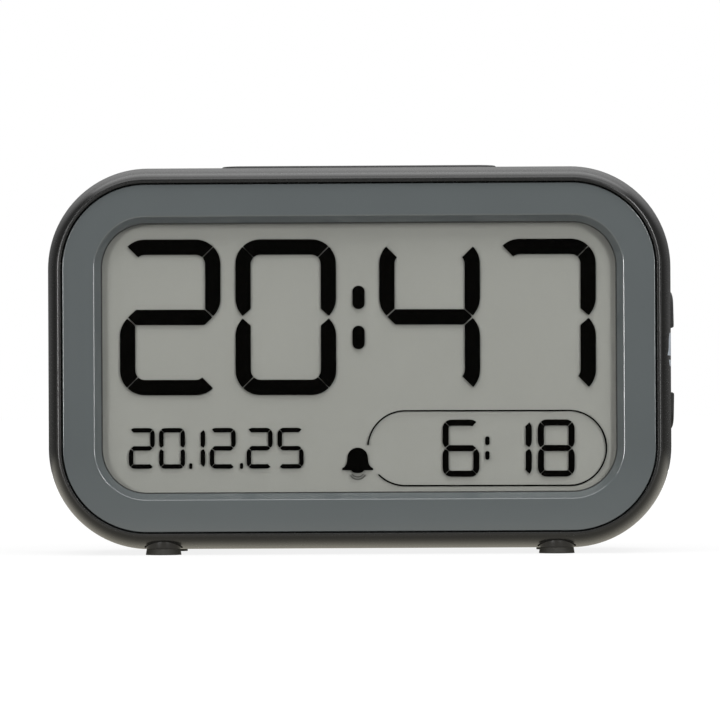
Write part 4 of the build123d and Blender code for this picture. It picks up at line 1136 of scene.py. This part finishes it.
def white_behind(world, ambient):
    """White world for the camera; mirrored surfaces see it white only high behind the object, and dark elsewhere."""
    world.use_nodes = True
    nodes, links = world.node_tree.nodes, world.node_tree.links
    backdrop = nodes["Background"]
    backdrop.inputs["Color"].default_value = (1, 1, 1, 1)
    heading = nodes.new("ShaderNodeTexCoord")
    lean = nodes.new("ShaderNodeVectorMath")
    lean.operation = "DOT_PRODUCT"
    lean.inputs[1].default_value = high_behind
    links.new(heading.outputs["Generated"], lean.inputs[0])
    mirrored = ramp(nodes, links, lean.outputs["Value"], near_high_behind, high_behind_share)
    shown = shown_share(nodes, links, mirrored)
    level = nodes.new("ShaderNodeMapRange")
    level.inputs["To Min"].default_value = ambient
    links.new(shown, level.inputs["Value"])
    links.new(level.outputs["Result"], backdrop.inputs["Strength"])


world = bpy.data.worlds.new("studio")
bpy.context.scene.world = world
white_behind(world, world_level)


def light_panel(name, place, aim, size, power):
    """Soft rectangular studio light aimed at a point."""
    light = bpy.data.lights.new(name, "AREA")
    light.shape = "RECTANGLE"
    light.size, light.size_y = size
    light.energy = power
    panel = bpy.data.objects.new(name, light)
    facing = (Vector(aim) - Vector(place)).to_track_quat("-Z", "Y")
    panel.matrix_world = Matrix.Translation(place) @ facing.to_matrix().to_4x4()
    bpy.context.scene.collection.objects.link(panel)


for name, values in studio_lights.items():
    light_panel(name, *values)

camera_data = bpy.data.cameras.new("camera")
camera_data.lens = camera_lens
camera_data.sensor_width = camera_sensor
camera_data.clip_end = camera_reach
camera = bpy.data.objects.new("camera", camera_data)
ahead = Vector(
    (
        math.sin(camera_yaw) * math.cos(camera_pitch),
        math.cos(camera_yaw) * math.cos(camera_pitch),
        math.sin(camera_pitch),
    )
)
level_right = Vector((math.cos(camera_yaw), -math.sin(camera_yaw), 0))
level_up = level_right.cross(ahead)
right = level_right * math.cos(camera_roll) + level_up * math.sin(camera_roll)
up = level_up * math.cos(camera_roll) - level_right * math.sin(camera_roll)
camera.matrix_world = Matrix.Translation(camera_place) @ Matrix((right, up, -ahead)).transposed().to_4x4()
bpy.context.scene.collection.objects.link(camera)
bpy.context.scene.camera = camera
bpy.context.scene.view_settings.view_transform = "Standard"
